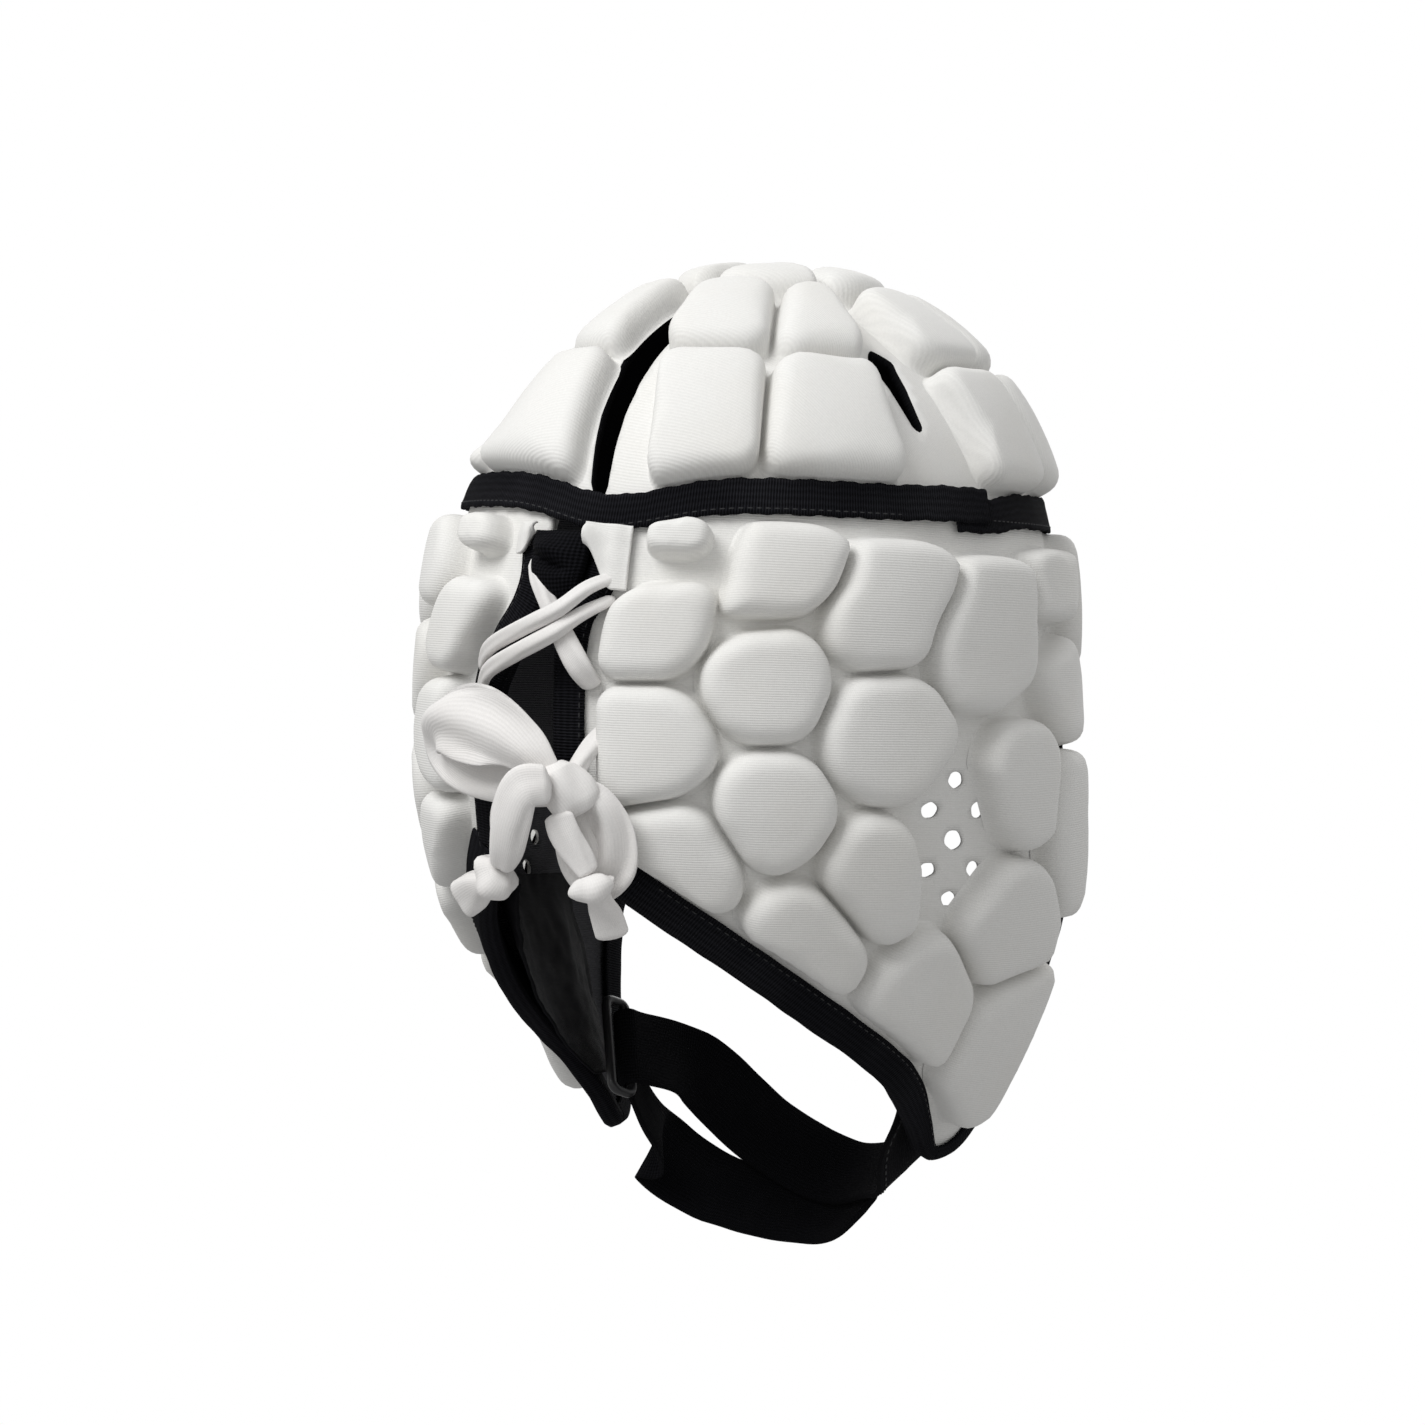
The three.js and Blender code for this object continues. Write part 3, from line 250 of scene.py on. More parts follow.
# Angles are degrees to the right of the middle of the back, out is a share of the pads' top, and
# wide and thick are shares of the lace's width.
LACE_COLUMNS = "angle drop out wide thick"
LACE_ROUTES = {
    "lace_cross_over_upper": table(
        LACE_COLUMNS,
        (13.5, 0.343, 0.36, 0.35, 0.35), (9, 0.36, 0.85, 0.52, 0.42), (5, 0.383, 1.25, 0.58, 0.45),
        (-2, 0.404, 1.3, 0.58, 0.45), (-10, 0.426, 1.05, 0.55, 0.45),
        (-19.5, 0.452, 0.36, 0.4, 0.35),
    ),
    "lace_cross_over_lower": table(
        LACE_COLUMNS,
        (12.8, 0.368, 0.36, 0.35, 0.35), (8, 0.388, 0.85, 0.52, 0.42), (4, 0.408, 1.25, 0.6, 0.45),
        (-3, 0.432, 1.3, 0.6, 0.45), (-10, 0.452, 1.05, 0.58, 0.45),
        (-19.5, 0.478, 0.36, 0.4, 0.35),
    ),
    "lace_cross_under": table(
        LACE_COLUMNS,
        (-5.5, 0.33, 0.45, 0.4, 0.4), (-1.5, 0.352, 0.8, 0.65, 0.5),
        (1.5, 0.382, 0.85, 0.7, 0.5), (4.5, 0.412, 0.9, 0.8, 0.55),
        (7.5, 0.445, 0.8, 0.9, 0.55), (9.5, 0.468, 0.36, 0.7, 0.45),
    ),
    "bow_loop_left": table(
        LACE_COLUMNS,
        (7, 0.565, 1.9, 0.9, 0.45), (2, 0.532, 2.05, 1.9, 0.4), (-4, 0.512, 2.1, 2.7, 0.36),
        (-12, 0.51, 1.95, 2.4, 0.36), (-19, 0.524, 1.7, 1.5, 0.45), (-20.5, 0.542, 1.45, 1.2, 0.45),
        (-16.5, 0.558, 1.4, 1.3, 0.45), (-8, 0.572, 1.4, 1.4, 0.4), (0, 0.578, 1.4, 1.2, 0.45),
        (6, 0.578, 1.45, 0.9, 0.5),
    ),
    "bow_loop_right": table(
        LACE_COLUMNS,
        (9, 0.572, 1.5, 0.9, 0.5), (12.6, 0.585, 1.55, 1.3, 0.42), (14.2, 0.612, 1.5, 1.7, 0.38),
        (13.9, 0.648, 1.45, 1.7, 0.38), (11.4, 0.667, 1.4, 1.5, 0.45), (9, 0.652, 1.45, 1.6, 0.4),
        (8.2, 0.622, 1.5, 1.5, 0.4), (8, 0.59, 1.5, 1, 0.5),
    ),
    "lace_tail_left": table(
        LACE_COLUMNS,
        (8, 0.562, 2.5, 1.2, 0.7), (4.5, 0.566, 2.7, 1.5, 0.6), (2, 0.592, 2.7, 1.6, 0.55),
        (0, 0.622, 2.55, 1.3, 0.6), (-2, 0.645, 2.3, 0.8, 0.7),
    ),
    "lace_tail_right": table(
        LACE_COLUMNS,
        (8, 0.59, 2.2, 1, 0.5), (9, 0.61, 2.2, 1.2, 0.5), (10.5, 0.632, 2.2, 1.1, 0.5),
        (12, 0.65, 2.2, 0.7, 0.6),
    ),
    "tail_end_left": table(
        LACE_COLUMNS,
        (-2, 0.648, 2.25, 0.9, 0.8), (-4, 0.657, 2.25, 1.75, 1.6), (-6.2, 0.664, 2.15, 0.9, 0.8),
        (-10, 0.674, 2.05, 1.3, 0.6), (-15, 0.689, 2, 1.5, 0.5),
    ),
    "tail_end_right": table(
        LACE_COLUMNS,
        (12, 0.649, 2.2, 0.8, 0.7), (12.5, 0.661, 2.25, 1.65, 1.5), (12.8, 0.673, 2.15, 0.9, 0.8),
        (13.2, 0.69, 2.05, 1.15, 0.55), (14, 0.717, 2, 1.3, 0.45),
    ),
    "bow_knot": table(
        LACE_COLUMNS,
        (5.6, 0.548, 1.75, 1, 1), (6.4, 0.558, 1.75, 1.7, 1.5), (8, 0.572, 1.75, 1.9, 1.6),
        (9.6, 0.586, 1.75, 1.7, 1.5), (10.4, 0.596, 1.75, 1, 1),
    ),
}

# The lace's two runs from the edges of the opening into the bow's knot.
LACE_LEADS = {
    "lace_lead_right": table(
        LACE_COLUMNS,
        (11.5, 0.515, 0.36, 0.5, 0.4), (10.5, 0.53, 0.8, 0.7, 0.45), (9, 0.55, 1.25, 0.7, 0.5),
        (8, 0.57, 1.6, 0.7, 0.5),
    ),
    "lace_lead_left": table(
        LACE_COLUMNS,
        (-22, 0.53, 0.36, 0.5, 0.4), (-14, 0.545, 0.75, 0.7, 0.45), (-3, 0.562, 1, 0.7, 0.5),
        (6.5, 0.574, 1.5, 0.7, 0.5),
    ),
}


def smooth(x, low, high):
    """A smooth step from 0 at low to 1 at high."""
    t = np.clip((np.asarray(x, float) - low) / (high - low), 0, 1)
    return t * t * (3 - 2 * t)


def read_table(rows, at, key, along):
    """A column's value at places along another column, by cubic curves through the rows."""
    x = np.array([row[along] for row in rows], float)
    y = np.array([row[key] for row in rows], float)
    slope = np.zeros(len(x))
    slope[1:-1] = (y[2:] - y[:-2]) / (x[2:] - x[:-2])
    slope[-1] = (y[-1] - y[-2]) / (x[-1] - x[-2])
    at = np.asarray(at, float)
    i = np.searchsorted(x[1:-1], at)
    span = x[i + 1] - x[i]
    t = np.minimum((at - x[i]) / span, 1.3)
    return (
        (2 * t**3 - 3 * t**2 + 1) * y[i]
        + (t**3 - 2 * t**2 + t) * span * slope[i]
        + (3 * t**2 - 2 * t**3) * y[i + 1]
        + (t**3 - t**2) * span * slope[i + 1]
    )


def section_at(drop):
    """Half width, back, front and forward shift of the head form at a drop."""
    drop = np.asarray(drop, float)
    h = np.clip(1 - drop / CROWN_HEIGHT, 0, 1)
    share = (1 - h**DOME_FULLNESS) ** (1 / DOME_FULLNESS)
    at = (drop - CROWN_HEIGHT) / FLAP_DROP
    low = drop >= CROWN_HEIGHT
    pick = lambda key, size, dome: np.where(low, size * read_table(SECTIONS, at, key, "drop"), dome)
    return (
        pick("width", HEAD_HALF_WIDTH, HEAD_HALF_WIDTH * share),
        pick("back", HEAD_HALF_LENGTH, HEAD_HALF_LENGTH * share),
        pick("front", HEAD_HALF_LENGTH, HEAD_HALF_LENGTH * share),
        pick("forward", HEAD_HALF_LENGTH, CROWN_LEAN * h * h),
    )


def form_point(angle, drop):
    """Points of the head form."""
    angle, drop = np.broadcast_arrays(np.asarray(angle, float), np.asarray(drop, float))
    width, back, front, forward = section_at(drop)
    turn = np.radians(angle)
    c = np.cos(turn)
    y = np.where(c > 0, back, front) * c - forward
    return np.stack([-width * np.sin(turn), y, -drop], axis=-1)


def dent(angle, drop):
    """How far the crown's back left arm is pushed in beside the slit at its edge."""
    slit = CROWN_TURN - ARM_TURN
    across = smooth(angle, slit - 4, slit + 4) * (1 - smooth(angle, slit + 12, slit + 50))
    down = np.asarray(drop) / BAND_DROP
    return DENT_DEPTH * across * smooth(down, 0.08, 0.45) * (1 - smooth(down, 0.7, 0.98))


def sprung_point(angle, drop):
    """The head form with the cheeks sprung out and the jaw spread."""
    angle, drop = np.broadcast_arrays(np.asarray(angle, float), np.asarray(drop, float))
    point = form_point(angle, drop)
    side = np.where(angle > 0, 1.0, -1.0)
    apart = np.abs(angle)
    between = smooth(apart, 20, 75) * smooth(180 - apart, 0, 40)
    reach = np.where(side > 0, JAW_SPREAD[1], JAW_SPREAD[-1])
    spread = -side * smooth(drop / TOTAL_DROP, 0.75, 1.02) * between * reach
    point[..., 0] += spread
    spring = np.where(side > 0, CHEEK_SPRING[1], CHEEK_SPRING[-1])
    share = smooth(drop / TOTAL_DROP, 0.55, 0.78) * smooth(apart, CHEEK_HINGE, CHEEK_HINGE + 24)
    hinge = form_point(side * CHEEK_HINGE, drop)
    hinge[..., 0] += spread
    turn = -side * np.radians(spring) * share
    arm = point - hinge
    c, s = np.cos(turn), np.sin(turn)
    turned = np.stack(
        [arm[..., 0] * c - arm[..., 1] * s, arm[..., 0] * s + arm[..., 1] * c, arm[..., 2]], axis=-1
    )
    return hinge + turned


def unit(v):
    """Vectors scaled to length one."""
    return v / np.maximum(np.linalg.norm(v, axis=-1, keepdims=True), 1e-12)


def head_point(angle, drop, out=0.0):
    """Points on the head form, that far out from its surface."""
    angle, drop, out = np.broadcast_arrays(
        np.asarray(angle, float), np.asarray(drop, float), np.asarray(out, float)
    )
    step, dip = 0.2, 0.0002
    low = np.maximum(drop, 2 * dip)
    along = sprung_point(angle + step, low) - sprung_point(angle - step, low)
    down = sprung_point(angle, low + dip) - sprung_point(angle, low - dip)
    normal = unit(np.cross(down, along))
    normal[drop < dip] = (0, 0, 1)
    return sprung_point(angle, drop) + normal * (out - dent(angle, drop))[..., None]


def seam_drop(angle):
    """The drop of the seam between the crown and the side panels, which dips at the back."""
    across = (np.asarray(angle) - BAND_DIP_ANGLE) / BAND_DIP_REACH
    return BAND_DROP + BAND_DIP * np.exp(-(across**2))


def crown_drop(share):
    """The drop at a share of the way from the crown's top to the band."""
    turn = math.acos((1 - BAND_DROP / CROWN_HEIGHT) ** (DOME_FULLNESS / 2))
    return CROWN_HEIGHT * (1 - np.cos(share * turn) ** (2 / DOME_FULLNESS))


def crown_point(spot, out):
    """Points over the crown's chart, a disc whose radius stands for the way down."""
    share = np.linalg.norm(spot, axis=-1) / CROWN_REACH
    angle = np.degrees(np.arctan2(spot[..., 0], spot[..., 1])) % 360
    near_slit = 0.5 + 0.5 * np.cos(np.radians(angle) * ARM_COUNT)
    turned = angle + CROWN_TURN - CROWN_TWIST * (1 - share) * near_slit
    turned = np.where(turned > 180, turned - 360, turned)
    dip = seam_drop(turned) - BAND_DROP
    return head_point(turned, crown_drop(share) + dip * smooth(share, 0.6, 1), out)


def curve_points(points, at):
    """Places on a centripetal spline through points, at shares of its rows."""
    points = np.asarray(points, float)
    points = np.vstack([2 * points[0] - points[1], points, 2 * points[-1] - points[-2]])
    place = np.clip(np.asarray(at, float), 0, 1) * (len(points) - 3)
    i = np.minimum(place.astype(int), len(points) - 4)
    t = (place - i)[:, None]
    p0, p1, p2, p3 = (points[i + k] for k in range(4))
    gap = lambda a, b: np.maximum(np.linalg.norm(b - a, axis=1, keepdims=True) ** 0.5, 1e-6)
    d0, d1, d2 = gap(p0, p1), gap(p1, p2), gap(p2, p3)
    t1 = ((p1 - p0) / d0 - (p2 - p0) / (d0 + d1) + (p2 - p1) / d1) * d1
    t2 = ((p2 - p1) / d1 - (p3 - p1) / (d1 + d2) + (p3 - p2) / d2) * d1
    return (
        p1 + t1 * t + (-3 * p1 + 3 * p2 - 2 * t1 - t2) * t**2 + (2 * p1 - 2 * p2 + t1 + t2) * t**3
    )


def way_out(angle, drop, out):
    """Points that far out from the head form, and the direction outwards at each."""
    inner = head_point(angle, drop, out)
    return inner, unit(head_point(angle, drop, out + 0.001) - inner)


def run_along(points):
    """How far along a row of points each of them lies."""
    return np.r_[0, np.cumsum(np.linalg.norm(np.diff(points, axis=0), axis=1))]


def sheet_shares(rows, columns):
    """Shares of the way down and across a sheet."""
    return np.meshgrid(np.linspace(0, 1, rows), np.linspace(0, 1, columns), indexing="ij")


def uneven(points, size, seed):
    """Soft noise from -1 to 1 at points, with bumps about that size."""
    shift = Vector((seed, 2 * seed, 3 * seed))
    values = [noise.noise(Vector(p) / size + shift) for p in points.reshape(-1, 3)]
    return np.array(values).reshape(points.shape[:-1])


class Shape:
    """Vertices, faces, texture places and material numbers gathered for one mesh."""

    def __init__(self):
        self.points, self.faces, self.places, self.slots = [], [], [], []
        self.count = 0

    def add(self, points, faces, places):
        """Adds a patch, and returns the number of its first vertex."""
        start = self.count
        self.points.append(np.asarray(points).reshape(-1, 3))
        self.places.append(np.asarray(places).reshape(-1, 2))
        self.faces += [tuple(int(v) + start for v in face) for face in faces]
        self.slots += [0] * len(faces)
        self.count += len(self.points[-1])
        return start

    def grid(self, points, places, around=False, along=False):
        """Adds a grid of quads, wrapped round its columns or along its rows."""
        rows, columns = points.shape[:2]
        faces = []
        for i in range(rows if along else rows - 1):
            for j in range(columns if around else columns - 1):
                a, b = i * columns + j, i * columns + (j + 1) % columns
                low = ((i + 1) % rows) * columns
                faces.append((a, b, low + (j + 1) % columns, low + j))
        self.add(points, faces, places)

    def build(self, name, *materials):
        """The finished object, with its texture places, smooth shading and materials."""
        mesh = bpy.data.meshes.new(name)
        mesh.from_pydata(np.vstack(self.points).tolist(), [], self.faces)
        mesh.update()
        layer = mesh.uv_layers.new(name="cloth")
        corner = np.empty(len(mesh.loops), int)
        mesh.loops.foreach_get("vertex_index", corner)
        layer.data.foreach_set("uv", np.vstack(self.places)[corner].ravel())
        mesh.polygons.foreach_set("use_smooth", [True] * len(mesh.polygons))
        mesh.polygons.foreach_set("material_index", self.slots)
        for material in materials:
            mesh.materials.append(material)
        mesh.update()
        piece = bpy.data.objects.new(name, mesh)
        bpy.context.collection.objects.link(piece)
        return piece


def declare(piece, slot, *nodes):
    """Hides the parts that a finished piece stands for and hangs it on the root body. Its slot, the
    finish, is not used.
    """
    if nodes:
        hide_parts(*nodes)
    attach(piece, "root")


def swept(name, spine, across, up, outline, material, closed=False):
    """A body whose outline, in shares across and up, follows a spine."""
    rings = (
        spine[:, None]
        + across[:, None] * outline[..., 0:1]
        + up[:, None] * outline[..., 1:2]
    )
    length = run_along(spine)
    count = outline.shape[-2]
    girth = np.linspace(0, 1, count, endpoint=False) * 0.03
    places = np.stack(np.broadcast_arrays(length[:, None], girth[None]), axis=-1)
    shape = Shape()
    shape.grid(rings, places, around=True, along=closed)
    if not closed:
        for row, order in ((0, 1), (len(rings) - 1, -1)):
            ring = rings[row]
            middle = ring.mean(axis=0)
            fan = [(k, (k + 1) % count, count)[::order] for k in range(count)]
            shape.add(
                np.vstack([ring, middle]), fan, np.vstack([places[row], places[row].mean(axis=0)])
            )
    return shape.build(name, material)


def oval(wide, thick, count, square=2.0):
    """Rings of a rounded oval, one for each width and thickness."""
    turn = np.linspace(0, 2 * np.pi, count, endpoint=False)
    c, s = np.cos(turn), np.sin(turn)
    edge = (np.abs(c) ** square + np.abs(s) ** square) ** (-1 / square)
    wide, thick = np.atleast_1d(wide), np.atleast_1d(thick)
    return np.stack([wide[:, None] / 2 * c * edge, thick[:, None] / 2 * s * edge], axis=-1)


# ---------------------------------------------------------------- materials


def new_group(name, inputs, outputs):
    """An empty shader node group with named number and colour sockets."""
    group = bpy.data.node_groups.new(name, "ShaderNodeTree")
    for label, kind, value in inputs:
        socket = group.interface.new_socket(name=label, in_out="INPUT", socket_type=kind)
        socket.default_value = value
    for label, kind in outputs:
        group.interface.new_socket(name=label, in_out="OUTPUT", socket_type=kind)
    start = group.nodes.new("NodeGroupInput")
    end = group.nodes.new("NodeGroupOutput")
    return group, start, end


def maths(tree, operation, a, b=None, c=None):
    """A maths node fed by sockets or numbers."""
    node = tree.nodes.new("ShaderNodeMath")
    node.operation = operation
    for place, value in zip(node.inputs, (a, b, c)):
        if value is None:
            continue
        if isinstance(value, bpy.types.NodeSocket):
            tree.links.new(value, place)
        else:
            place.default_value = value
    return node.outputs[0]


def knit_group():
    """Rows of knitted or woven ribs along the cloth's own places, with a finer cross rib."""
    group, start, end = new_group(
        "Cloth Ribs",
        (
            ("Rib Pitch", "NodeSocketFloat", 0.0009),
            ("Cross Pitch", "NodeSocketFloat", 0.0012),
            ("Cross Share", "NodeSocketFloat", 0.35),
            ("Unevenness", "NodeSocketFloat", 0.3),
        ),
        (("Height", "NodeSocketFloat"),),
    )
    links = group.links
    places = group.nodes.new("ShaderNodeUVMap")
    places.uv_map = "cloth"
    parts = group.nodes.new("ShaderNodeSeparateXYZ")
    links.new(places.outputs[0], parts.inputs[0])
    wander = group.nodes.new("ShaderNodeTexNoise")
    wander.inputs["Scale"].default_value = 160
    wander.inputs["Detail"].default_value = 2
    links.new(places.outputs[0], wander.inputs["Vector"])
    drift = maths(group, "MULTIPLY", wander.outputs["Fac"], start.outputs["Unevenness"])
    waves = []
    for along, pitch in ((parts.outputs[1], "Rib Pitch"), (parts.outputs[0], "Cross Pitch")):
        turns = maths(group, "DIVIDE", along, start.outputs[pitch])
        turns = maths(group, "MULTIPLY_ADD", drift, 3.0, turns)
        wave = maths(group, "SINE", maths(group, "MULTIPLY", turns, 2 * math.pi))
        waves.append(maths(group, "MULTIPLY_ADD", wave, 0.5, 0.5))
    cross = maths(group, "MULTIPLY", waves[1], start.outputs["Cross Share"])
    links.new(maths(group, "ADD", waves[0], cross), end.inputs["Height"])
    return group


def shade_group():
    """A cloth's colour with soft patches and fine flecks over it, and painted shade in the valleys
    between its ribs.
    """
    group, start, end = new_group(
        "Cloth Shade",
        (
            ("Colour", "NodeSocketColor", (0.8, 0.8, 0.8, 1)),
            ("Patch Colour", "NodeSocketColor", (0.7, 0.68, 0.62, 1)),
            ("Patches", "NodeSocketFloat", 0.25),
            ("Flecks", "NodeSocketFloat", 0.1),
            ("Ribs", "NodeSocketFloat", 0.5),
            ("Rib Shade", "NodeSocketFloat", 0.06),
        ),
        (("Colour", "NodeSocketColor"), ("Roughness Change", "NodeSocketFloat")),
    )
    links = group.links
    where = group.nodes.new("ShaderNodeTexCoord")
    patch = group.nodes.new("ShaderNodeTexNoise")
    patch.inputs["Scale"].default_value = 28
    patch.inputs["Detail"].default_value = 3
    fleck = group.nodes.new("ShaderNodeTexNoise")
    fleck.inputs["Scale"].default_value = 1400
    fleck.inputs["Detail"].default_value = 1
    for texture in (patch, fleck):
        links.new(where.outputs["Object"], texture.inputs["Vector"])
    spread = group.nodes.new("ShaderNodeMapRange")
    spread.inputs["From Min"].default_value = 0.45
    spread.inputs["From Max"].default_value = 0.75
    links.new(patch.outputs["Fac"], spread.inputs["Value"])
    amount = maths(group, "MULTIPLY", spread.outputs[0], start.outputs["Patches"])
    mix = group.nodes.new("ShaderNodeMix")
    mix.data_type = "RGBA"
    links.new(amount, mix.inputs["Factor"])
    links.new(start.outputs["Colour"], mix.inputs["A"])
    links.new(start.outputs["Patch Colour"], mix.inputs["B"])
    fine = maths(group, "MULTIPLY", fleck.outputs["Fac"], start.outputs["Flecks"])
    # Painted shade: the colour is darkened in the valleys between the ribs, as deep as the rib
    # shade.
    painted_rib_valley_shade = maths(group, "SUBTRACT", 1.0, start.outputs["Ribs"])
    painted_rib_valley_shade = maths(group, "MULTIPLY", painted_rib_valley_shade, start.outputs["Rib Shade"])
    keep = maths(group, "SUBTRACT", maths(group, "SUBTRACT", 1.05, fine), painted_rib_valley_shade)
    dim = group.nodes.new("ShaderNodeVectorMath")
    dim.operation = "SCALE"
    links.new(mix.outputs["Result"], dim.inputs[0])
    links.new(keep, dim.inputs["Scale"])
    links.new(dim.outputs[0], end.inputs["Colour"])
    links.new(maths(group, "MULTIPLY", fleck.outputs["Fac"], 0.15), end.inputs["Roughness Change"])
    return group


def shared_group(name, make):
    """A node group made once and then used again."""
    return bpy.data.node_groups.get(name) or make()


def blank_material(name):
    """A new material, with its node tree and its shader."""
    material = bpy.data.materials.new(name)
    material.use_nodes = True
    tree = material.node_tree
    return material, tree, tree.nodes["Principled BSDF"]


def cloth(name, colour, patch, ribs, patches=0.25, flecks=0.1, rib_shade=0.06, roughness=0.85,
          depth=0.0002, sheen=0.0, specular=0.2):
    """A knitted or woven cloth, with painted shade in the valleys between its ribs. Ribs are its
    pitch, cross pitch, cross share and unevenness.
    """
    if name in bpy.data.materials:
        return bpy.data.materials[name]
    material, tree, shader = blank_material(name)
    shader.inputs["Sheen Weight"].default_value = sheen
    shader.inputs["Sheen Roughness"].default_value = 0.6
    shader.inputs["Specular IOR Level"].default_value = specular
    knit = tree.nodes.new("ShaderNodeGroup")
    knit.node_tree = shared_group("Cloth Ribs", knit_group)
    for label, value in zip(("Rib Pitch", "Cross Pitch", "Cross Share", "Unevenness"), ribs):
        knit.inputs[label].default_value = value
    shade = tree.nodes.new("ShaderNodeGroup")
    shade.node_tree = shared_group("Cloth Shade", shade_group)
    shade.inputs["Colour"].default_value = (*colour, 1)
    shade.inputs["Patch Colour"].default_value = (*patch, 1)
    shade.inputs["Patches"].default_value = patches
    shade.inputs["Flecks"].default_value = flecks
    # Rib shade is painted shade, darkening the colour in the valleys between the ribs.
    shade.inputs["Rib Shade"].default_value = rib_shade
    tree.links.new(knit.outputs["Height"], shade.inputs["Ribs"])
    tree.links.new(shade.outputs["Colour"], shader.inputs["Base Color"])
    rough = maths(tree, "ADD", shade.outputs["Roughness Change"], roughness - 0.08)
    tree.links.new(rough, shader.inputs["Roughness"])
    bump = tree.nodes.new("ShaderNodeBump")
    bump.inputs["Distance"].default_value = depth
    bump.inputs["Strength"].default_value = 0.7
    tree.links.new(knit.outputs["Height"], bump.inputs["Height"])
    tree.links.new(bump.outputs[0], shader.inputs["Normal"])
    return material


def cover_cloth(look):
    """The white knit over the pads."""
    return cloth("cover knit", look.cover_colour, (0.71, 0.69, 0.64),
                 (look.knit_pitch, 0.7 * look.knit_pitch, 0.3, 0.15), patches=0.3, sheen=0.05,
                 rib_shade=0.04, depth=0.00007)


def tape_cloth(look):
    """The black ribbed tape."""
    return cloth("ribbed tape", look.tape_colour, (0.02, 0.02, 0.023),
                 (0.0021, look.tape_pitch, 2.2, 0.12), patches=0.4, flecks=0.3, rib_shade=0.5,
                 roughness=0.9, depth=0.0003, specular=0.04)


def lace_cloth(look):
    """The white jersey of the laces."""
    return cloth("lace jersey", look.lace_colour, (0.72, 0.69, 0.66),
                 (0.0006, 0.0006, 0.5, 0.3), patches=0.35, sheen=0.05,
                 rib_shade=0.03, depth=0.00005)


def strap_cloth(look):
    """The black pile of the strap."""
    return cloth("strap pile", look.tape_colour, (0.018, 0.018, 0.02),
                 (0.0006, 0.0006, 1.0, 0.9), patches=0.5, flecks=0.5, rib_shade=0.4,
                 roughness=0.95, depth=0.00025, sheen=0.01, specular=0.03)


def gusset_cloth(look):
    """The black knit of the gusset."""
    return cloth("black knit", look.tape_colour, (0.02, 0.02, 0.023),
                 (0.0009, 0.0012, 1.0, 0.2), patches=0.4, flecks=0.3, rib_shade=0.6,
                 roughness=0.9, depth=0.0004, specular=0.04)


def satin_cloth():
    """The black lining of the left jaw."""
    return cloth("satin lining", (0.005, 0.005, 0.006), (0.009, 0.009, 0.011),
                 (0.0004, 0.0004, 0.6, 0.2), patches=0.6, flecks=0.2, rib_shade=0.2,
                 roughness=0.62, depth=0.00006, specular=0.02)


def shaded_inner_cloth():
    """The grey lining inside the side panels, darkened nearly to black as painted shade for the
    inside of the cap.
    """
    # Painted shade: the lining's own grey is darkened nearly to black, for the shade inside the
    # cap.
    return cloth("panel lining painted shade", (0.07, 0.07, 0.075), (0.05, 0.05, 0.055),
                 (0.0007, 0.0007, 0.8, 0.3), roughness=0.9, specular=0.05)


def dark_cloth():
    """The lining inside the crown."""
    return cloth("crown lining", (0.006, 0.006, 0.007), (0.009, 0.009, 0.01),
                 (0.0008, 0.0008, 0.8, 0.3), roughness=0.9, specular=0.03)


def ring_plastic():
    """The ring's dark moulded plastic, with a fine grain."""
    material, tree, shader = blank_material("ring plastic")
    shader.inputs["Base Color"].default_value = (0.014, 0.014, 0.015, 1)
    where = tree.nodes.new("ShaderNodeTexCoord")
    grain = tree.nodes.new("ShaderNodeTexNoise")
    grain.inputs["Scale"].default_value = 900
    tree.links.new(where.outputs["Object"], grain.inputs["Vector"])
    rough = maths(tree, "MULTIPLY_ADD", grain.outputs["Fac"], 0.25, 0.25)
    tree.links.new(rough, shader.inputs["Roughness"])
    bump = tree.nodes.new("ShaderNodeBump")
    bump.inputs["Distance"].default_value = 0.00004
    tree.links.new(grain.outputs["Fac"], bump.inputs["Height"])
    tree.links.new(bump.outputs[0], shader.inputs["Normal"])
    return material


# ---------------------------------------------------------------- pads and walls


def rounded_least(distances, radius):
    """The least distance to a cell's sides, with the cell's corners rounded to a radius."""
    short = np.maximum(radius - np.stack(distances), 0)
    return radius - np.sqrt((short**2).sum(axis=0))


def pad_outline(middle, sides, scale, rounding, limit=None):
    """Where rays from a pad's middle come within half a gap of its rounded cell or its limit."""
    turn = 2 * np.pi * (np.arange(PAD_CORNERS) + 0.5) / PAD_CORNERS
    ray = np.stack([np.cos(turn) / scale[0], np.sin(turn) / scale[1]], axis=-1)
    radius = min(rounding, 0.85 * np.stack(sides(middle[None])).min())

    def clear(along):
        spots = middle + ray * along[:, None]
        room = rounded_least(sides(spots), radius)
        if limit is not None:
            room = np.minimum(room, limit(spots))
        return room > PAD_GAP / 2

    near = np.zeros(PAD_CORNERS)
    going = np.ones(PAD_CORNERS, bool)
    while going.any():
        going &= clear(near + PAD_STEP)
        near[going] += PAD_STEP
    far = near + PAD_STEP
    for _ in range(8):
        half = (near + far) / 2
        inside = clear(half)
        near, far = np.where(inside, half, near), np.where(inside, far, half)
    return middle + ray * near[:, None]


# How a pad's surface runs from the wall up to its top: how far inside its outline, in metres, and
# the share of its height.
PAD_PROFILE = table(
    "inset height",
    (-0.0016, -0.01), (-0.0011, 0.02), (-0.0006, 0.09), (-0.0002, 0.22), (0.0001, 0.4),
    (0.0005, 0.57), (0.0012, 0.73), (0.0022, 0.85), (0.0036, 0.94), (0.0054, 0.985),
)


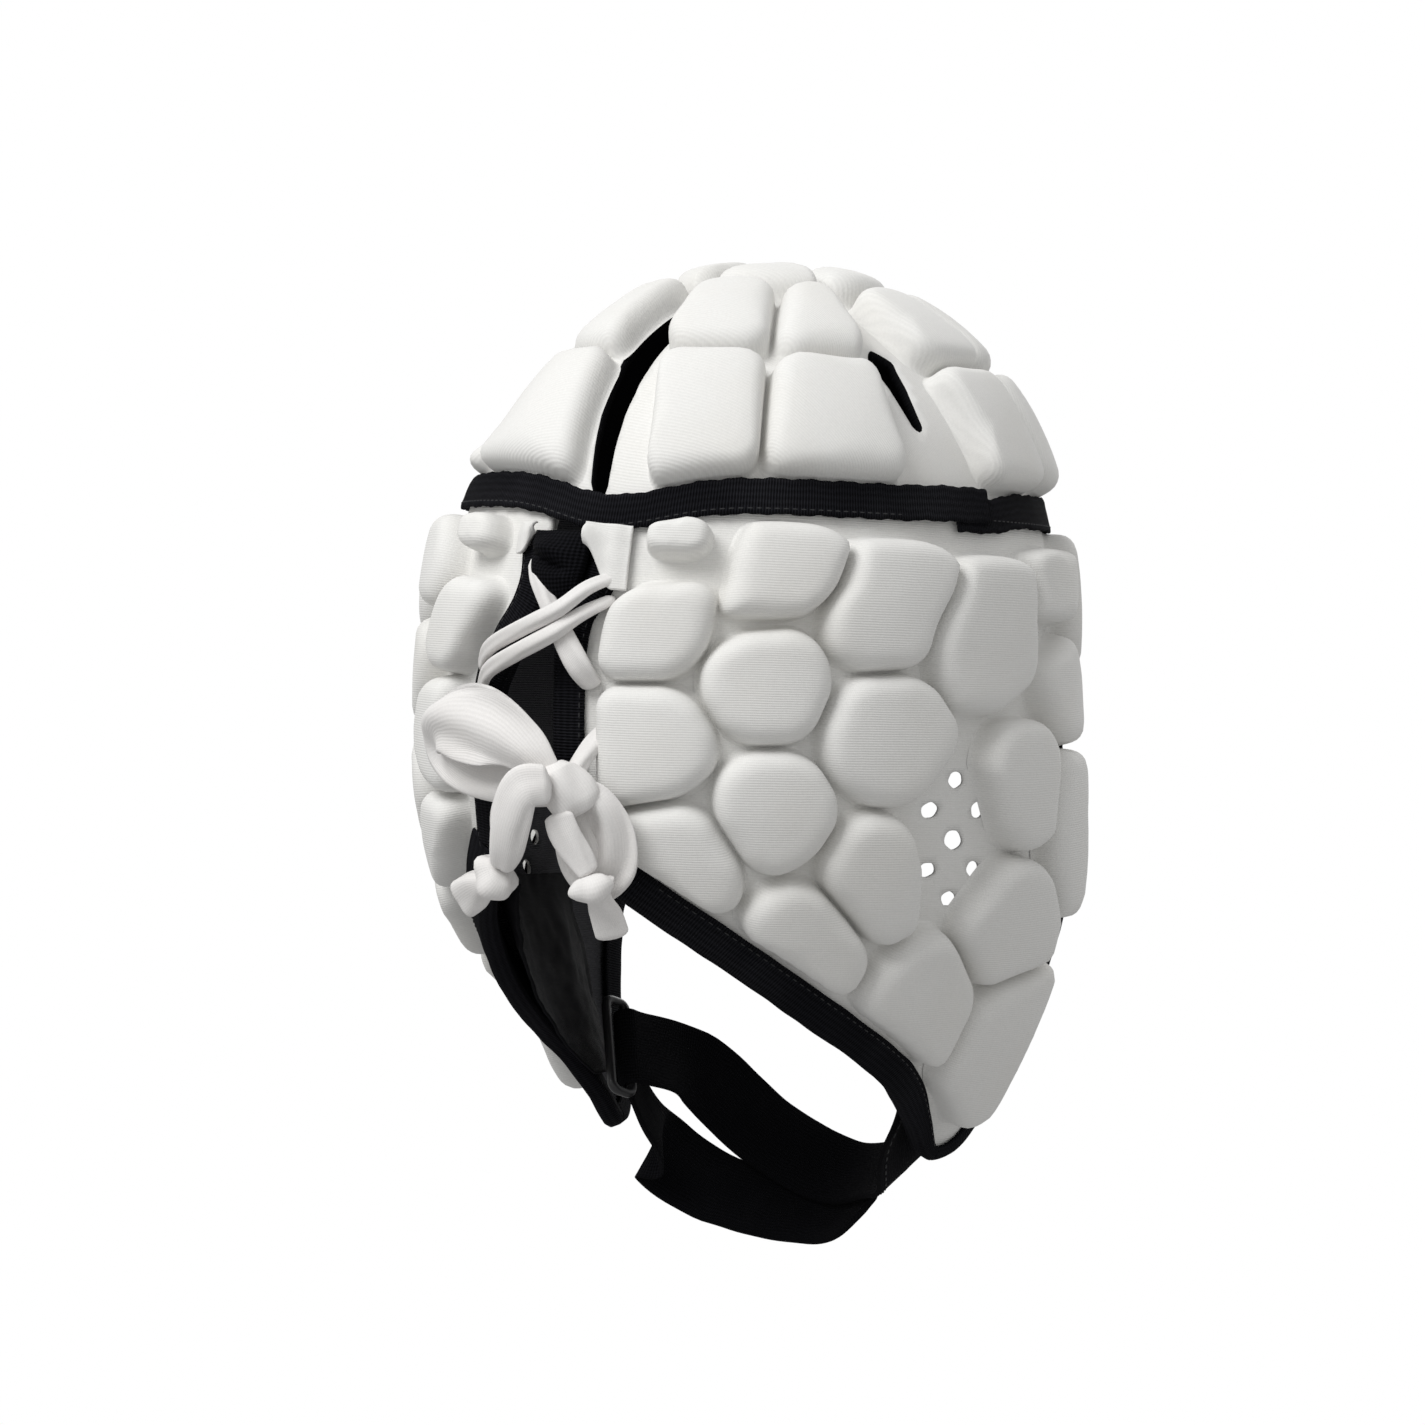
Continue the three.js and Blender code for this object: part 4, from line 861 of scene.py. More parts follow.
def add_pad(shape, middle, outline, scale, place, look, seed):
    """Adds a soft pad over its outline."""
    reach = outline - middle
    far = np.linalg.norm(reach * scale, axis=1)
    count = len(outline)
    rows, heights = [], []
    for row in PAD_PROFILE:
        inset = row["inset"] * min(1.0, far.min() / PAD_FULL_REACH)
        rows.append(middle + reach * (1 - inset / far)[:, None])
        heights.append(np.full(count, row["height"]))
    inner = rows[-1] - middle
    for share in PAD_TOP_RINGS:
        rows.append(middle + inner * share)
        height = PAD_PROFILE[-1]["height"] + PAD_DOME * (1 - share**2)
        heights.append(np.full(count, height))
    rows, heights = np.array(rows), np.array(heights)
    flat = place(rows, np.full(rows.shape[:2], WALL))
    ripple = uneven(flat, BROAD_RIPPLE, seed) * look.pad_ripple
    ripple = ripple + uneven(flat, FINE_RIPPLE, seed) * look.pad_ripple / 4
    rise = smooth(heights, 0, 0.8)
    out = WALL + PAD_HEIGHT * heights + rise * (look.pad_crown * heights + ripple)
    points = place(rows, out)
    cloth_places = rows * scale
    shape.grid(points, cloth_places, around=True)
    hub = place(middle[None], np.array([out[-1].mean()]))
    shape.add(
        np.vstack([points[-1], hub]),
        [(k, (k + 1) % count, count) for k in range(count)],
        np.vstack([cloth_places[-1], middle * scale]),
    )


def inside(points, loop):
    """Which points lie inside a closed loop."""
    x, y = points[:, 0:1], points[:, 1:2]
    ax, ay = loop[:, 0], loop[:, 1]
    bx, by = np.roll(ax, -1), np.roll(ay, -1)
    crosses = (ay > y) != (by > y)
    cut = ax + (y - ay) * (bx - ax) / np.where(by == ay, 1e-12, by - ay)
    return (crosses & (x < cut)).sum(axis=1) % 2 == 1


def add_wall(shape, rim, holes, scale, spacing, place, wave=None, thinned=None, cut_slot=0):
    """Adds a wall with holes over a flat chart, closed all round its edges.

    Its inside takes the second material, and its edges the one numbered cut_slot.
    """
    loops = [rim * scale] + [hole * scale for hole in holes]
    low, high = loops[0].min(axis=0), loops[0].max(axis=0)
    across = np.arange(low[0], high[0], spacing)
    down = np.arange(low[1], high[1], spacing * 0.87)
    grid = np.stack(np.meshgrid(across, down), axis=-1)
    grid[1::2, :, 0] += spacing / 2
    grid = grid.reshape(-1, 2)
    edge = np.vstack(loops)
    apart = np.array([np.linalg.norm(edge - p, axis=1).min() for p in grid])
    keep = inside(grid, loops[0]) & (apart > 0.45 * spacing)
    for loop in loops[1:]:
        keep &= ~inside(grid, loop)
    verts = [Vector(p) for p in np.vstack([edge, grid[keep]])]
    edges, start = [], 0
    for loop in loops:
        edges += [(start + k, start + (k + 1) % len(loop)) for k in range(len(loop))]
        start += len(loop)
    flat, _, faces, *_ = delaunay_2d_cdt(verts, edges, [], 0, 1e-8)
    flat = np.array([tuple(v) for v in flat])
    faces = np.array([f for f in faces if len(f) == 3])
    middles = flat[faces].mean(axis=1)
    good = inside(middles, loops[0])
    for loop in loops[1:]:
        good &= ~inside(middles, loop)
    faces = faces[good]
    chart = flat / scale
    out = np.full(len(chart), WALL)
    if wave is not None:
        out = out + wave(chart)
    count = len(chart)
    low = np.zeros(count) if thinned is None else thinned(chart)
    points = np.vstack([place(chart, out), place(chart, low)])
    start = shape.add(points, faces, np.vstack([flat, flat]))
    shape.faces += [tuple(int(v) + start + count for v in f[::-1]) for f in faces]
    shape.slots += [1] * len(faces)
    sides = np.vstack([faces[:, [0, 1]], faces[:, [1, 2]], faces[:, [2, 0]]])
    known = {tuple(side) for side in sides.tolist()}
    for a, b in sides.tolist():
        if (b, a) not in known:
            shape.faces.append((start + b, start + a, start + count + a, start + count + b))
            shape.slots.append(cut_slot)


def turn_outwards(piece):
    """Welds a piece's patches and turns its faces outwards."""
    work = bmesh.new()
    work.from_mesh(piece.data)
    bmesh.ops.remove_doubles(work, verts=work.verts, dist=2e-6)
    bmesh.ops.recalc_face_normals(work, faces=work.faces)
    work.to_mesh(piece.data)
    work.free()
    piece.data.update()
    return piece


# ---------------------------------------------------------------- crown


def crown_spot(angle, share):
    """Places on the crown's chart, at an angle and a share of the way down."""
    turn = np.radians(angle)
    way = np.stack([np.sin(turn), np.cos(turn)], axis=-1)
    return way * np.asarray(share)[..., None] * CROWN_REACH


def crown_slit(angle, row):
    """The loop of the slit between two arms, with slightly ragged edges."""
    t = (np.arange(SLIT_STEPS) + 0.5) / SLIT_STEPS
    opened = np.minimum(t / 0.16, 1) ** 0.8 * np.minimum((1 - t) / 0.05, 1) ** 0.5
    half = row["width"] / 2 * opened * (1 - 0.6 * t)
    share = row["start"] + (row["end"] - row["start"]) * t
    across = np.array([math.cos(math.radians(angle)), -math.sin(math.radians(angle))])
    middle = crown_spot(np.full(SLIT_STEPS, float(angle)), share)
    ragged = SLIT_FRAY * uneven(np.pad(middle, ((0, 0), (0, 1))), 0.004, angle)
    one = middle - across * (half + ragged)[:, None]
    two = middle + across * (half - ragged)[:, None]
    top, foot = (crown_spot(np.array([float(angle)]), [row[end]]) for end in ("start", "end"))
    return np.vstack([top, one, foot, two[::-1]])


def crown_pads():
    """Middles and outlines of the crown's pads."""
    pads = []
    for arm in range(ARM_COUNT):
        low, high = arm * ARM_TURN, (arm + 1) * ARM_TURN
        seam = low + ARM_SEAM * ARM_TURN
        for row in CROWN_ROWS:
            spans = [(low, seam, True, False), (seam, high, False, True)]
            if not row["split"]:
                spans = [(low, high, True, True)]
            for one, two, slit_one, slit_two in spans:
                last_arm = arm == ARM_COUNT - 1

                def cell(p, row=row, one=one, two=two, slit_one=slit_one, slit_two=slit_two,
                         last_arm=last_arm):
                    radius = np.linalg.norm(p, axis=-1)
                    near_slit = SLIT_CLEAR if row["split"] else 0.0
                    low_down = smooth(radius / CROWN_REACH, 0.3, 1) if row["split"] else 0.0
                    sides = []
                    for turn, way, slit in ((one, 1, slit_one), (two, -1, slit_two)):
                        c, s = math.cos(math.radians(turn)), math.sin(math.radians(turn))
                        away = way * (p[..., 0] * c - p[..., 1] * s)
                        flange = NARROW_FLANGE if last_arm and way < 0 else ARM_FLANGE
                        sides.append(away - (near_slit + flange * low_down if slit else 0))
                    sides.append(radius - row["start"] * CROWN_REACH)
                    sides.append(row["end"] * CROWN_REACH - radius)
                    return sides

                share = row["start"] + 0.54 * (row["end"] - row["start"])
                middle = crown_spot(np.array((one + two) / 2), np.array(share))
                pads.append((middle, pad_outline(middle, cell, (1, 1), CROWN_ROUNDING)))
    return pads


def crown(look):
    """The padded crown with its slits."""
    angles = np.linspace(0, 360, 150, endpoint=False)
    rim = crown_spot(angles, np.full(len(angles), 1 - SEAM_GAP / 2 / BAND_DROP))
    slits = [crown_slit(arm * ARM_TURN, row) for arm, row in enumerate(SLITS)]
    scale = np.array(CROWN_CHART)
    shape = Shape()
    add_wall(shape, rim, slits, scale, look.wall_grid, crown_point, cut_slot=1)
    for k, (middle, outline) in enumerate(crown_pads()):
        add_pad(shape, middle, outline, scale, crown_point, look, 2.3 * k)
    piece = turn_outwards(shape.build("crown_cover", cover_cloth(look), dark_cloth()))
    declare(piece, "quilted_cover", "crown")


# ---------------------------------------------------------------- side panels


def chart_scale(angle, drop):
    """Metres on the head form for one degree, and for one metre of drop."""
    here = form_point(angle, drop)
    per_degree = np.linalg.norm(form_point(np.asarray(angle) + 1, drop) - here, axis=-1)
    per_drop = np.linalg.norm(form_point(angle, np.asarray(drop) + 0.001) - here, axis=-1) / 0.001
    return per_degree, per_drop


def edge_curve(t):
    """Chart angle and drop along a side panel's lower edge."""
    points = [(row["angle"], 1000 * row["drop"] * TOTAL_DROP) for row in PANEL_EDGE]
    return curve_points(points, t) / (1, 1000)


def opening_angle(side, drop):
    """How far round from the back the opening's edge lies."""
    at = np.clip(np.asarray(drop) / TOTAL_DROP, BACK_OPENING[0]["drop"], BACK_OPENING[-1]["drop"])
    return read_table(BACK_OPENING, at, "right" if side > 0 else "left", "drop")


def panel_angle(side, angle, drop):
    """The angle on the head of a panel's own angle, which is 0 at the opening's edge."""
    back = opening_angle(side, drop)
    return back + (180 - back) * np.asarray(angle) / 180


def settle(side, spots):
    """Chart places moved round to make room for the back opening."""
    return np.stack([panel_angle(side, spots[..., 0], spots[..., 1]), spots[..., 1]], axis=-1)


def panel_pads(side):
    """Middles, outlines and chart scales of a side panel's pads."""

    def scale_at(spot):
        per_degree, per_drop = chart_scale(spot[0], spot[1])
        return np.array([per_degree * (180 - opening_angle(side, spot[1])) / 180, per_drop])

    edge = edge_curve(np.linspace(0, 1, 91))
    border = BINDING_WIDTH + 0.5 * FIT
    spots = [np.array([row["angle"], row["drop"] * TOTAL_DROP]) for row in SIDE_PADS + BARE_CELL]
    pads = []
    for i, middle in enumerate(spots[: len(SIDE_PADS)]):
        scale = scale_at(middle)
        others = [(spot, scale_at((spot + middle) / 2)) for k, spot in enumerate(spots) if k != i]
        half = np.array([SIDE_PADS[i]["wide"], SIDE_PADS[i]["tall"]]) / 2000 + PAD_SLOPE

        def limit(p, middle=middle, scale=scale, half=half):
            share = np.abs((p - middle) * scale / half) ** PAD_SQUARENESS
            return (1 - share.sum(axis=-1) ** (1 / PAD_SQUARENESS)) * half.min() + PAD_GAP / 2

        def cell(p, middle=middle, scale=scale, others=others):
            cells = []
            for spot, size in others:
                gap = ((p - spot) * size) ** 2 - ((p - middle) * size) ** 2
                cells.append(gap.sum(axis=-1) / (2 * np.linalg.norm((spot - middle) * size)))
            cells.append(
                np.linalg.norm((edge[:, None] - p[None]) * scale, axis=-1).min(axis=0) - border
            )
            seam = seam_drop(side * panel_angle(side, p[..., 0], p[..., 1]))
            cells.append(p[..., 0] * scale[0] - border)
            cells.append((p[..., 1] - seam) * scale[1] - BAND_WIDTH / 2)
            cells.append((180 - p[..., 0]) * scale[0])
            return cells

        pads.append((middle, pad_outline(middle, cell, scale, PAD_ROUNDING, limit), scale))
    return pads


def ear_holes():
    """Loops of the holes punched over the ear, not quite round."""
    per_degree, per_drop = chart_scale(EAR_ANGLE, EAR_DROP)
    turn = np.linspace(0, 2 * np.pi, 24, endpoint=False)

    def hole(right, down, across, seed):
        rough = 1 + 0.06 * np.sin(2 * turn + seed) + 0.03 * np.sin(5 * turn + 3 * seed)
        wide = EAR_HOLE_STRETCH * across
        return np.stack(
            [
                EAR_ANGLE + (right + wide / 2 * np.cos(turn) * rough) / per_degree,
                EAR_DROP + (down + across / 2 * np.sin(turn) * rough) / per_drop,
            ],
            axis=-1,
        )

    holes = [hole(0, 0, EAR_HOLE, 0)]
    for k in range(6):
        way = math.radians(90 + 60 * k)
        right = 0.8 * EAR_HOLE_RING * math.cos(way)
        down = 1.15 * EAR_HOLE_RING * math.sin(way)
        holes.append(hole(right, down, 0.8 * EAR_HOLE, k + 1))
    return holes


def edge_places(side, edge, shares, reach):
    """Places along an edge, the way into the panel and how far a binding reaches."""
    at = lambda t: settle(side, edge(np.clip(t, 0, 1)))
    here = at(shares)
    per_degree, per_drop = chart_scale(here[:, 0], here[:, 1])
    along = at(shares + 0.004) - at(shares - 0.004)
    along = unit(along * np.stack([per_degree, per_drop], axis=-1))
    inward = np.stack([along[:, 1] / per_degree, -along[:, 0] / per_drop], axis=-1)
    return here, inward, reach(shares)


def bound_edges(side):
    """The bound edges of a panel, as functions of shares: the back opening and the foot."""
    corner = edge_curve([0])[0, 1]
    top = BAND_DROP + BAND_CLEAR
    back = lambda t: np.stack([0 * t, top + (corner - top) * t], axis=-1)
    back_reach = lambda t: np.full(len(t), 0.8 * BINDING_WIDTH)

    def foot_reach(t):
        near_tip = smooth(np.abs(t - JAW_TIP), 0, 0.14)
        return BINDING_WIDTH * (0.45 + np.where(t < JAW_TIP, 0.55, 0.35) * near_tip)

    return (
        lambda shares: edge_places(side, back, shares, back_reach),
        lambda shares: edge_places(side, edge_curve, shares, foot_reach),
    )


def side_panel(side, name, look):
    """A padded side panel with its ear holes."""
    front = 180 - FRONT_SEAM
    back_places, foot_places = bound_edges(side)
    back = back_places(np.linspace(0, 1, 30))[0]
    foot = foot_places(np.linspace(0, 1, 200))[0]
    foot[-1, 0] = front
    top_at = lambda x: seam_drop(side * x) + SEAM_GAP / 2
    across = np.linspace(front, back[0, 0], 120)
    top = np.stack([across, top_at(across)], axis=-1)
    front_line = np.linspace(foot[-1, 1], top[0, 1], 12)[1:-1]
    side_line = np.linspace(top[-1, 1], back[0, 1], 6)[1:-1]
    upright = lambda angle, drops: np.stack([np.full(len(drops), angle), drops], axis=-1)
    rim = np.vstack(
        [back[:-1], foot, upright(front, front_line), top, upright(back[0, 0], side_line)]
    )
    place = lambda p, out: head_point(side * p[..., 0], p[..., 1], out)
    holes = [settle(side, hole) for hole in ear_holes()]

    def wave(chart):
        flat = place(chart, np.full(len(chart), WALL))
        loose = smooth(chart[:, 1], 0.08, 0.1)
        return WALL_WAVE * loose * uneven(flat, 0.014, side)

    ear = settle(side, np.array([EAR_ANGLE, EAR_DROP]))
    ear_scale = np.array(chart_scale(*ear))

    def thinned(chart):
        away = np.linalg.norm((chart - ear) * ear_scale, axis=1)
        return (WALL - EAR_WALL) * (1 - smooth(away, EAR_THIN_REACH, EAR_THIN_REACH + 0.008))

    shape = Shape()
    add_wall(shape, rim, holes, np.array(PANEL_CHART), look.wall_grid, place, wave, thinned)
    settled = lambda p, out: place(settle(side, p), out)
    for k, (middle, outline, size) in enumerate(panel_pads(side)):
        add_pad(shape, middle, outline, size, settled, look, 3.7 * k + side)
    return turn_outwards(shape.build(name, cover_cloth(look), shaded_inner_cloth()))


# ---------------------------------------------------------------- tapes


def tape_body(name, rings, look, closed=False):
    """A tape from rings of points, with its length kept for its ribs."""
    length = run_along(rings.mean(axis=1))
    girth = run_along(rings[0])
    places = np.stack(np.broadcast_arrays(length[:, None], girth[None]), axis=-1)
    shape = Shape()
    shape.grid(rings, places, around=True, along=closed)
    if not closed:
        for row in (0, -1):
            shape.add(rings[row], [tuple(range(rings.shape[1]))], places[row])
    return turn_outwards(shape.build(name, tape_cloth(look)))


# A tape's outline round the head: shares of its width and of its thickness.
TAPE_OUTLINE = table(
    "across out",
    (-0.5, 0.15), (-0.46, 0), (0.46, 0), (0.5, 0.15), (0.5, 0.8), (0.46, 1), (0.4, 1.08),
    (0.25, 0.98), (0, 1.0), (-0.25, 0.98), (-0.4, 1.08), (-0.46, 1), (-0.5, 0.8),
)


def crown_band(look):
    """The tape over the crown's seam, whose end laps over its start by the right ear."""
    turn = np.linspace(LAP_START, LAP_START + 360 + LAP, 520)
    head_turn = (turn + 180) % 360 - 180
    first = 1 - smooth(turn, LAP_START + LAP, LAP_START + LAP + 14)
    last = smooth(turn, LAP_START + 360 - 16, LAP_START + 360 - 2)
    shift = LAP_SHIFT * first - 0.0002 * last
    lift = (BAND_THICKNESS + 0.0001) * last
    low = WALL + 2 * FIT
    rings = []
    for row in TAPE_OUTLINE:
        share = row["across"]
        drop = seam_drop(head_turn) + share * BAND_WIDTH + shift
        edge = 0.00018 * np.sin(turn * 0.9 + share) + 0.00012 * np.sin(turn * 2.3)
        out = low + lift + row["out"] * BAND_THICKNESS
        rings.append(head_point(head_turn, drop + edge * np.sign(share), out))
    return tape_body("crown_tape", np.stack(rings, axis=1), look)


def binding_rings(side, places):
    """Rings of a folded binding that grips the wall's edge."""
    here, inward, reach = places
    low, high, skin = -FIT, WALL + FIT, BINDING_THICKNESS
    far = reach - 2 * FIT
    outline = [
        (1, 0, low), (0.5, 0, low), (0, low, low), (0, low, high), (0.5, 0, high), (1, 0, high),
        (1, 0, high + 0.7 * skin), (0.93, 0, high + 1.05 * skin), (0.5, 0, high + 0.95 * skin),
        (0, 0.001, high + skin), (0, -0.0003, high + 0.8 * skin), (0, low - 0.7 * skin, high),
        (0, low - skin, WALL / 2), (0, low - 0.7 * skin, low), (0, -0.0003, low - 0.8 * skin),
        (0, 0.001, low - skin), (0.5, 0, low - 0.95 * skin), (0.93, 0, low - 1.05 * skin),
        (1, 0, low - 0.7 * skin),
    ]
    rings = []
    for share, extra, out in outline:
        spot = here + inward * (share * far + extra)[:, None]
        rings.append(head_point(side * spot[:, 0], spot[:, 1], out))
    return np.stack(rings, axis=1)


def puckered(rings, seed):
    """Rings with the small waves of a sewn tape."""
    middle = rings.mean(axis=1, keepdims=True)
    wave = uneven(rings, 0.009, seed)[..., None]
    return rings + unit(rings - middle) * PUCKER * wave


def bindings(look):
    """The folded tapes along the back opening, the neck and the face."""
    pieces = {}
    faces = []
    for side, word in ((1, "right"), (-1, "left")):
        back, foot = bound_edges(side)
        tip = round(JAW_TIP * EDGE_PARTS)
        neck = np.linspace(0.4 / EDGE_PARTS, (tip + 0.1) / EDGE_PARTS, 180)
        face = np.linspace((tip + 0.2) / EDGE_PARTS, 1, 250)
        pieces["back_binding_" + word] = binding_rings(side, back(np.linspace(0, 1, 70)))
        pieces["neck_binding_" + word] = binding_rings(side, foot(neck))
        faces.append(binding_rings(side, foot(face)))
    pieces["face_binding"] = np.concatenate([faces[0], faces[1][::-1][1:]])
    for k, (node, rings) in enumerate(pieces.items()):
        piece = tape_body(node + "_tape", puckered(rings, k), look)
        declare(piece, "black_webbing", node)


# ---------------------------------------------------------------- laces


def lace_rings(name, look):
    """Spine, across and outward ways, and outlines of a lace, ribbon or knot."""
    rows = {**LACE_ROUTES, **LACE_LEADS}[name]
    key = lambda word: np.array([row[word] for row in rows], float)
    spots = head_point(key("angle"), key("drop") * TOTAL_DROP, key("out") * PAD_TOP)
    t = np.linspace(0, 1, LACE_STEPS * (len(rows) - 1) + 1)
    at = t * (len(rows) - 1)
    mix = lambda word: np.interp(at, np.arange(len(rows)), key(word))
    flow = lambda word: curve_points(np.stack([np.arange(len(rows)), key(word)], axis=-1), t)[:, 1]
    spine = curve_points(spots, t)
    drop = mix("drop") * TOTAL_DROP
    outward = head_point(mix("angle"), drop, 0.001) - head_point(mix("angle"), drop, 0.0)
    along = unit(np.gradient(spine, axis=0))
    across = unit(np.cross(along, outward))
    up = unit(np.cross(across, along))
    ends = np.minimum(t, 1 - t) * (len(rows) - 1)
    close = np.sqrt(np.clip(1 - (1 - np.clip(ends / 0.25, 0, 1)) ** 2, 0.05, 1))
    wide = flow("wide") * LACE_WIDTH * close
    thick = flow("thick") * LACE_WIDTH * close
    outline = oval(wide, thick, LACE_CORNERS, LACE_SQUARENESS)
    turn = np.linspace(0, 2 * np.pi, LACE_CORNERS, endpoint=False)
    folds = 0.1 * np.sin(3 * turn[None] + 1.4 * at[:, None])
    folds = folds + 0.06 * np.sin(5 * turn[None] - at[:, None])
    outline = outline * (1 + look.lace_folds * folds)[..., None]
    if name.startswith("bow_loop"):
        over = outline[..., 0] / (wide.max() / 2)
        sway = np.sin(5 * over + 1.8 * np.sin(0.9 * at[:, None])) * smooth(ends, 0.1, 1)[:, None]
        outline[..., 1] += look.lace_folds * LOOP_PLEAT * sway
    return spine, across, up, outline


def laces(look):
    """The crossed laces and the bow."""
    for name in (*LACE_ROUTES, *LACE_LEADS):
        spine, across, up, outline = lace_rings(name, look)
        piece = swept(name + "_cloth", spine, across, up, outline, lace_cloth(look))
        turn_outwards(piece)
        declare(piece, "lace_cotton", *([name] if name in LACE_ROUTES else []))


# ---------------------------------------------------------------- gusset and lining


def cloth_sheet(name, points, places, outward, thickness, material):
    """A thin closed cloth from a grid of points and the way out of each."""
    shape = Shape()
    rows, columns = points.shape[:2]
    shape.grid(points + outward * thickness, places)
    shape.grid(points, places)
    loop = [(0, j) for j in range(columns)]
    loop += [(i, columns - 1) for i in range(1, rows)]
    loop += [(rows - 1, j) for j in range(columns - 2, -1, -1)]
    loop += [(i, 0) for i in range(rows - 2, 0, -1)]
    ids = [i * columns + j for i, j in loop]
    count = rows * columns
    for a, b in zip(ids, ids[1:] + ids[:1]):
        shape.faces.append((a, b, count + b, count + a))
        shape.slots.append(0)
    return turn_outwards(shape.build(name, material))


def gusset(look):
    """The black knitted gusset puffed out at the top of the back opening."""
    left, right = GUSSET_ANGLES
    v, u = sheet_shares(52, 56)
    bulge = (np.sin(np.pi * u) * np.sin(np.pi * v)) ** 0.6
    ridge, groove = ((v - at - 0.3 * u) / wide for at, wide in ((0.16, 0.1), (0.36, 0.07)))
    roll = GUSSET_FOLD * np.exp(-(ridge**2)) * smooth(1 - u, 0.05, 0.6)
    fold = -GUSSET_FOLD * np.exp(-(groove**2)) * smooth(1 - u, 0.0, 0.5)
    angle = (left + right) / 2 + (u - 0.5) * (right - left) * (1 - 0.35 * v**2)
    drop = BAND_DROP + BAND_CLEAR + GUSSET_HEIGHT * v * (1 + 0.12 * np.sin(3 * u))
    inner, outward = way_out(angle, drop, OVER_TAPES)
    creases = 0.0006 * uneven(inner, 0.005, 2)
    points = inner + outward * (bulge * (GUSSET_PUFF + roll + fold) + creases)[..., None]
    places = np.stack([u * 0.02, v * GUSSET_HEIGHT], axis=-1)
    knit = gusset_cloth(look)
    piece = cloth_sheet("back_gusset_knit", points, places, outward, GUSSET_THICKNESS, knit)
    declare(piece, "black_webbing", "back_gusset")


# White cloth turned back beside the gusset: the angles of its edges, and in millimetres how far
# down it reaches and how far out it curls.
FLAPS = table(
    "name inner outer foot lift",
    ("right", 6.5, 15, 17, 3.6), ("left", -4.8, -10, 8, 2.5),
)


def gusset_flaps(look):
    """The cover's edges turned back over the tapes at the top of the back opening."""
    for row in FLAPS:
        v, u = sheet_shares(26, 26)
        angle = row["inner"] + (row["outer"] - row["inner"]) * u
        depth = row["foot"] * (0.35 + 0.65 * smooth(u, 0, 0.7)) / 1000
        drop = BAND_DROP + BAND_CLEAR - FLAP_TUCK + depth * v
        puff = np.sin(np.pi * np.clip(v, 0.1, 1)) ** 0.5
        curl = row["lift"] / 1000 * np.exp(-((u / 0.3) ** 2)) * puff
        sunk = -0.0012 * smooth(u, 0.6, 1)
        inner, outward = way_out(angle, drop, OVER_TAPES)
        crease = 0.0005 * uneven(inner, 0.006, row["inner"])
        points = inner + outward * (0.0006 + curl + sunk + crease)[..., None]
        places = np.stack([u * 0.014, v * 0.017], axis=-1)
        name, knit = "gusset_flap_" + row["name"], cover_cloth(look)
        piece = cloth_sheet(name, points, places, outward, FLAP_THICKNESS, knit)
        declare(piece, "quilted_cover")


def jaw_lining():
    """The black satin inside the left jaw."""
    v, u = sheet_shares(70, 80)
    drop = read_table(JAW_LINING_ROWS, v, "drop", "at") * TOTAL_DROP
    start = read_table(JAW_LINING_ROWS, v, "from", "at")
    end = read_table(JAW_LINING_ROWS, v, "to", "at")
    angle = -(start + (end - start) * u)
    inner, outward = way_out(angle, drop, -FIT - BINDING_THICKNESS - LINING_CLEAR)
    wrinkle = 0.0009 * uneven(inner, 0.013, 5) + 0.0004 * uneven(inner, 0.005, 9)
    points = inner + outward * wrinkle[..., None]
    places = np.stack([u * 0.1, drop], axis=-1)
    satin = satin_cloth()
    piece = cloth_sheet("jaw_lining_satin", points, places, outward, LINING_THICKNESS, satin)
    declare(piece, "satin_lining", "jaw_lining_left")


# ---------------------------------------------------------------- chin strap


def strap_places(t):
    """The strap's middle line, and the ways along it, across it and towards the head."""
    sizes = (HEAD_HALF_WIDTH, -HEAD_HALF_LENGTH, -TOTAL_DROP)
    keys = ("across", "forward", "drop")
    route = [[row[key] * size for key, size in zip(keys, sizes)] for row in STRAP_ROUTE]
    t = np.asarray(t, float)
    spot = curve_points(route, t)
    along = unit(curve_points(route, t + 1e-3) - curve_points(route, t - 1e-3))
    to_head = np.array([0, 0.1 * HEAD_HALF_LENGTH, -0.78 * TOTAL_DROP]) - spot
    across = unit(np.cross(along, to_head))
    face = unit(np.cross(across, along))
    face = np.where((face * to_head).sum(axis=1, keepdims=True) < 0, -face, face)
    across = np.where(across[:, 2:] < 0, -across, across)
    return spot, along, across, face


def strap_stations():
    """The strap's middles, ways across and out of its face, and shares of its width."""
    spot, along, across, face = strap_places(np.linspace(0, 1, STRAP_STEPS))
    rows = [(spot, across, face, np.ones(STRAP_STEPS))]
    end = [v[-1] for v in (spot, along, across, face)]
    bar = end[0] - end[3] * FOLD_RADIUS
    turn = np.radians(np.arange(15, 180, 15))
    ways = end[3] * np.cos(turn)[:, None] + end[1] * np.sin(turn)[:, None]
    sideways = np.repeat(end[2][None], len(turn), 0)
    rows.append((bar + ways * FOLD_RADIUS, sideways, ways, np.ones(len(turn))))
    key = lambda word: [row[word] for row in FOLD_BACK]
    line = np.stack([key("along"), key("away"), key("down")], axis=-1)
    shares = np.linspace(0, 1, FOLD_STEPS)
    fine = curve_points(line, shares)
    spot, _, across, face = strap_places(fine[:, 0])
    spot = spot - face * fine[:, 1:2] * STRAP_WIDTH - across * fine[:, 2:3] * STRAP_WIDTH
    tip = np.sqrt(np.clip(1 - smooth(shares, 0.86, 1.02) ** 2, 0.03, 1))
    rows.append((spot, across, -face, tip))
    return [np.concatenate(parts) for parts in zip(*rows)]


